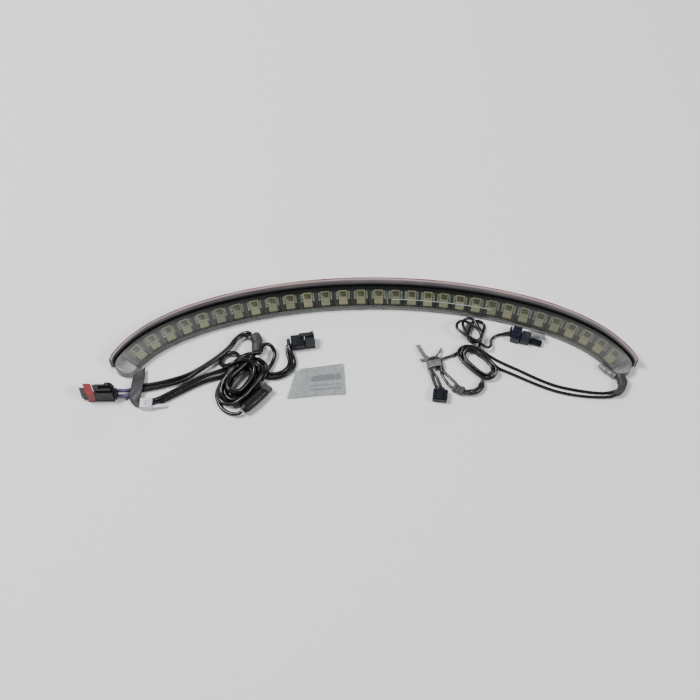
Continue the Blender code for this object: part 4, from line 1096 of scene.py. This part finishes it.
def add_strip(shell, stations_mm, thickness, ripple=0.0):
    """A thin strip with rounded edges and a slightly uneven face."""
    half = thickness * MM / 2
    rings = []
    for k, (a, b) in enumerate(strip_lines(stations_mm)):
        across = (b - a).normalized()
        inset, up = across * half * 0.6, UP * half
        wave = Vector((0, 0, ripple * MM * math.sin(k * 0.9)))
        middle = (a + b) / 2 + wave
        rings.append([a, a + inset + up * 0.8, a.lerp(b, 0.25) + up + wave, middle + up, a.lerp(b, 0.75) + up,
                      b - inset + up * 0.8, b, b - inset - up * 0.8, middle - up, a + inset - up * 0.8])
    return add_loft(shell, rings)


LEFT_STRAP = [((-95.3, -22.0), (-90.6, -17.6), 1.6), ((-95.4, -24.2), (-90.4, -22.2), 1.9),
              ((-95.5, -26.0), (-90.6, -25.1), 2.35), ((-95.6, -28.6), (-90.9, -27.9), 2.5),
              ((-95.7, -30.6), (-91.1, -29.8), 2.3), ((-95.4, -32.6), (-91.3, -31.3), 1.4),
              ((-94.0, -34.4), (-91.5, -32.1), 1.2), ((-92.4, -35.2), (-91.7, -32.4), 1.2)]
RIGHT_SLEEVE = [(97.5, -21.9, 1.95), (98.0, -24.6, 1.95), (97.5, -27.1, 1.9), (96.2, -28.9, 1.85),
                (94.6, -29.6, 1.5)]
RIGHT_BEAD = [(89.8, -16.5, 1.3), (91.8, -18.4, 1.4), (93.8, -20.2, 1.5), (95.8, -21.6, 1.7)]
LABEL = [((-30.8, -18.9), (-34.1, -31.0), 0.45), ((-28.0, -17.8), (-29.6, -30.6), 0.75),
         ((-24.5, -17.2), (-25.0, -30.1), 0.5), ((-18.5, -16.2), (-18.4, -29.5), 0.35),
         ((-12.1, -15.4), (-11.2, -29.0), 0.6)]
TIE_ENDS = [([(23.6, -14.2, 1.8), (21.0, -12.9, 1.4), (19.6, -10.8, 1.2), (17.9, -7.3, 1.1)], 0.85),
            ([(24.4, -14.0, 2.4), (25.9, -11.6, 1.8), (26.6, -10.2, 1.3), (27.3, -8.6, 0.9)], 0.55),
            ([(23.4, -14.8, 1.8), (21.3, -14.2, 1.4), (20.0, -13.6, 1.0), (18.7, -13.9, 0.8)], 0.55)]


def pulse(share, centre, width):
    """A smooth bump of height 1, for waists and swells along a sleeve."""
    return math.exp(-((share - centre) / width) ** 2)


def make_sleeves(paint):
    shell = bmesh.new()
    add_strip(shell, LEFT_STRAP, 0.7, 0.03)
    finish_mesh("left_strap", shell, paint["gray_sleeve"], smooth=60,
                stands_for=("left_lead_sleeve",))

    shell = bmesh.new()
    along = smooth_route(GRAY_SPLICE, 0.35 * MM)
    add_tube(shell, along,
             lambda k: 2.3 - 0.3 * pulse(k, 0.5, 0.03) - 0.5 * pulse(k, 0.0, 0.05) - 0.4 * k ** 8, 0.84)
    sleeve = finish_mesh("gray_splice_sleeve", shell, [paint["gray_sleeve"], paint["nose"]],
                         stands_for=("left_gray_splice",))
    seam = along[len(along) // 2]
    for face in sleeve.data.polygons:
        if face.center.y < seam.y:
            face.material_index = 1

    shell = bmesh.new()
    along = smooth_route(BLACK_SPLICE, 0.35 * MM)
    rings = add_tube(shell, along,
                     lambda k: 2.3 - 0.35 * pulse(k, 0.17, 0.02) - 0.5 * pulse(k, 1.0, 0.05), 0.8)
    for ring in rings[:7]:
        for vert in ring:
            vert.co.z = min(vert.co.z, 3.5 * MM)
    finishes = [paint["black_sleeve"], paint["gray_sleeve"]]
    sleeve = finish_mesh("black_splice_sleeve", shell, finishes,
                         stands_for=("left_black_splice",))
    gate = along[round(len(along) * 0.16)]
    ahead = (along[-1] - along[0]).normalized()
    for face in sleeve.data.polygons:
        if (face.center - gate).dot(ahead) < 0:
            face.material_index = 1

    shell = bmesh.new()
    along = smooth_route(RIGHT_SLEEVE, 0.35 * MM)
    add_tube(shell, along, lambda k: 2.0 - 0.7 * k + 0.3 * pulse(k, 0.3, 0.12), 0.95)
    finish_mesh("right_gland", shell, paint["gray_sleeve"], stands_for=("right_lead_sleeve",))
    shell = bmesh.new()
    add_tube(shell, smooth_route(RIGHT_BEAD, 0.4 * MM),
             lambda k: 1.3 + 0.12 * math.sin(k * 19) - 0.5 * pulse(k, 0, 0.15), 0.9)
    finish_mesh("right_silicone_bead", shell, paint["silicone"])

    shell = bmesh.new()
    along = smooth_route(JACKET_LOOP, 0.2 * MM)
    add_tube(shell, along,
             lambda k: 1.28 + 0.1 * math.sin(k * 62) * max(0.0, k - 0.45) * 2 - 0.2 * pulse(k, 0, 0.04), 0.98)
    finish_mesh("jacket_tube", shell, paint["jacket"], stands_for=("right_jacket",))

    shell = bmesh.new()
    place = placed(33.4, -27.6, -30)
    for x, width, top in ((-1.55, 1.5, 2.7), (0.0, 1.7, 2.35), (1.5, 1.6, 2.9)):
        corner_box(shell, place, (x - width / 2, -1.55, 0.1), (x + width / 2, 1.55, top), 0.35, 3)
    finish_mesh("crimped_ferrule", shell, paint["ferrule"], stands_for=("right_ferrule",))


def make_label(paint):
    lines = strip_lines(LABEL, 0.7)
    shell = bmesh.new()
    u_layer = shell.verts.layers.float.new("label_u")
    v_layer = shell.verts.layers.float.new("label_v")
    half, wave = UP * 0.11 * MM, UP * 0.06 * MM
    rings = []
    count = 14
    for k, (a, b) in enumerate(lines):
        top = [a.lerp(b, i / count) + half + wave * math.sin(k * 0.7 + i * 0.5) for i in range(count + 1)]
        under = [point - 2 * half for point in reversed(top)]
        rings.append(top + under)
    for k, ring in enumerate(add_loft(shell, rings)):
        for i, vert in enumerate(ring):
            vert[u_layer] = k / (len(lines) - 1)
            vert[v_layer] = (i if i <= count else 2 * count + 1 - i) / count
    finish_mesh("label_sheet", shell, paint["label"], stands_for=("flag_label",))


def make_ties(paint):
    shell = bmesh.new()
    place = placed(-89.0, -33.9)
    corner_box(shell, place, (-2.4, -2.1, 0.1), (2.4, 2.1, 2.7), 0.35, 3)
    corner_box(shell, place, (-1.2, -2.2, 2.3), (1.3, 1.2, 3.05), 0.2)
    corner_box(shell, place, (1.5, -1.5, 2.3), (2.2, 1.5, 3.0), 0.15)
    add_strip(shell, [((-87.4, -34.2), (-87.4, -35.9), 1.7), ((-84.4, -33.9), (-84.2, -35.5), 1.3),
                      ((-81.2, -33.6), (-80.9, -35.0), 0.8)], 0.45)
    finish_mesh("cable_tie_head", shell, paint["nylon"], stands_for=("left_cable_tie",))
    shell = bmesh.new()
    corner_box(shell, place, (-0.35, -1.2, 2.95), (0.35, -0.5, 3.12), 0.1)
    corner_box(shell, place, (-0.9, 0.2, 2.95), (0.9, 0.5, 3.1), 0.05)
    finish_mesh("cable_tie_marks", shell, paint["plug"])

    shell = bmesh.new()
    centre = Vector((24.4, -16.4, 1.75)) * MM
    wraps = []
    for k in range(61):
        angle = 2 * math.pi * 2.6 * k / 60
        spot = Vector((3.0 * math.cos(angle), -1.3 + 2.6 * k / 60, 1.45 * math.sin(angle)))
        wraps.append(centre + Matrix.Rotation(math.radians(14), 3, "Z") @ (spot * MM))
    rings = []
    for k, point in enumerate(wraps):
        ahead = (wraps[min(k + 1, 60)] - wraps[max(k - 1, 0)]).normalized()
        side = Vector((0, 1, 0)) - ahead * ahead.y
        side.normalize()
        up = side.cross(ahead)
        rings.append(oval(point, side, up, 0.5 * MM, 0.26 * MM, 10))
    add_loft(shell, rings)
    for route, radius in TIE_ENDS:
        core = smooth_route(route, 0.3 * MM)
        for phase in (0.0, math.pi):
            strand = []
            for k, point in enumerate(core):
                side, up = across_line(core, k)
                angle = phase + k * 0.42
                strand.append(point + radius * 0.42 * MM * (math.cos(angle) * side + math.sin(angle) * up))
            add_tube(shell, strand, lambda share: radius * 0.6, 1.0, 10)
    finish_mesh("twisted_tie", shell, paint["clear_tie"], stands_for=("right_twist_tie",))


def make_connector_details(paint):
    """Small moulded features that lie on the connectors."""
    shell = bmesh.new()
    place = placed(26.0, -30.3, -8)
    for x in (-1.5, 0.7):
        corner_box(shell, place, (x, 1.5, 2.8), (x + 0.9, 2.9, 3.55), 0.3, 3)
    finish_mesh("small_socket_wire_seals", shell, paint["nose"])
    shell = bmesh.new()
    add_strip(shell, [((61.0, -1.9), (61.6, -4.6), 3.4), ((65.0, -1.6), (65.4, -5.2), 2.9),
                      ((69.2, -2.4), (69.4, -5.9), 2.1)], 0.3)
    finish_mesh("right_plug_tail_film", shell, paint["tail_film"])


# ---------------------------------------------------------------- CAD pieces that stay

NODE_FINISH = {
    "board_adhesive": "adhesive", "left_end_potting": "potting", "right_end_potting": "potting",
    "left_plug_body": "plug", "left_plug_nose": "nose", "left_plug_lock": "red", "left_plug_latch": "plug",
    "left_plug_contact_0": "contact", "left_plug_contact_1": "contact", "left_plug_seal": "seal",
    "left_socket_body": "navy", "left_socket_shroud": "blue_gray", "left_socket_latch": "blue_gray",
    "left_socket_contact_0": "contact", "left_socket_contact_1": "contact", "left_socket_seal": "seal",
    "right_plug_body": "violet", "right_plug_shroud": "blue_gray", "right_plug_cap": "navy",
    "right_plug_seal": "seal", "right_socket_body": "navy", "right_socket_seal": "seal",
    "right_socket_latch": "navy",
}


def finish_nodes(paint):
    for node, finish in NODE_FINISH.items():
        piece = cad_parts[node]
        piece.data.materials.clear()
        piece.data.materials.append(paint[finish])
        if "contact" not in node and "adhesive" not in node:
            soften = piece.modifiers.new("edges", "BEVEL")
            soften.width = 0.12 * MM
            soften.segments = 2
            soften.limit_method = "ANGLE"
            soften.angle_limit = math.radians(30)
            soften.harden_normals = True


paint = palette()
make_camera()
make_stage()
for make in (make_lens, make_rail_and_tape, make_boards, make_lamps, make_left_cords, make_right_cords,
             make_sleeves, make_label, make_ties, make_connector_details):
    make(paint)
finish_nodes(paint)
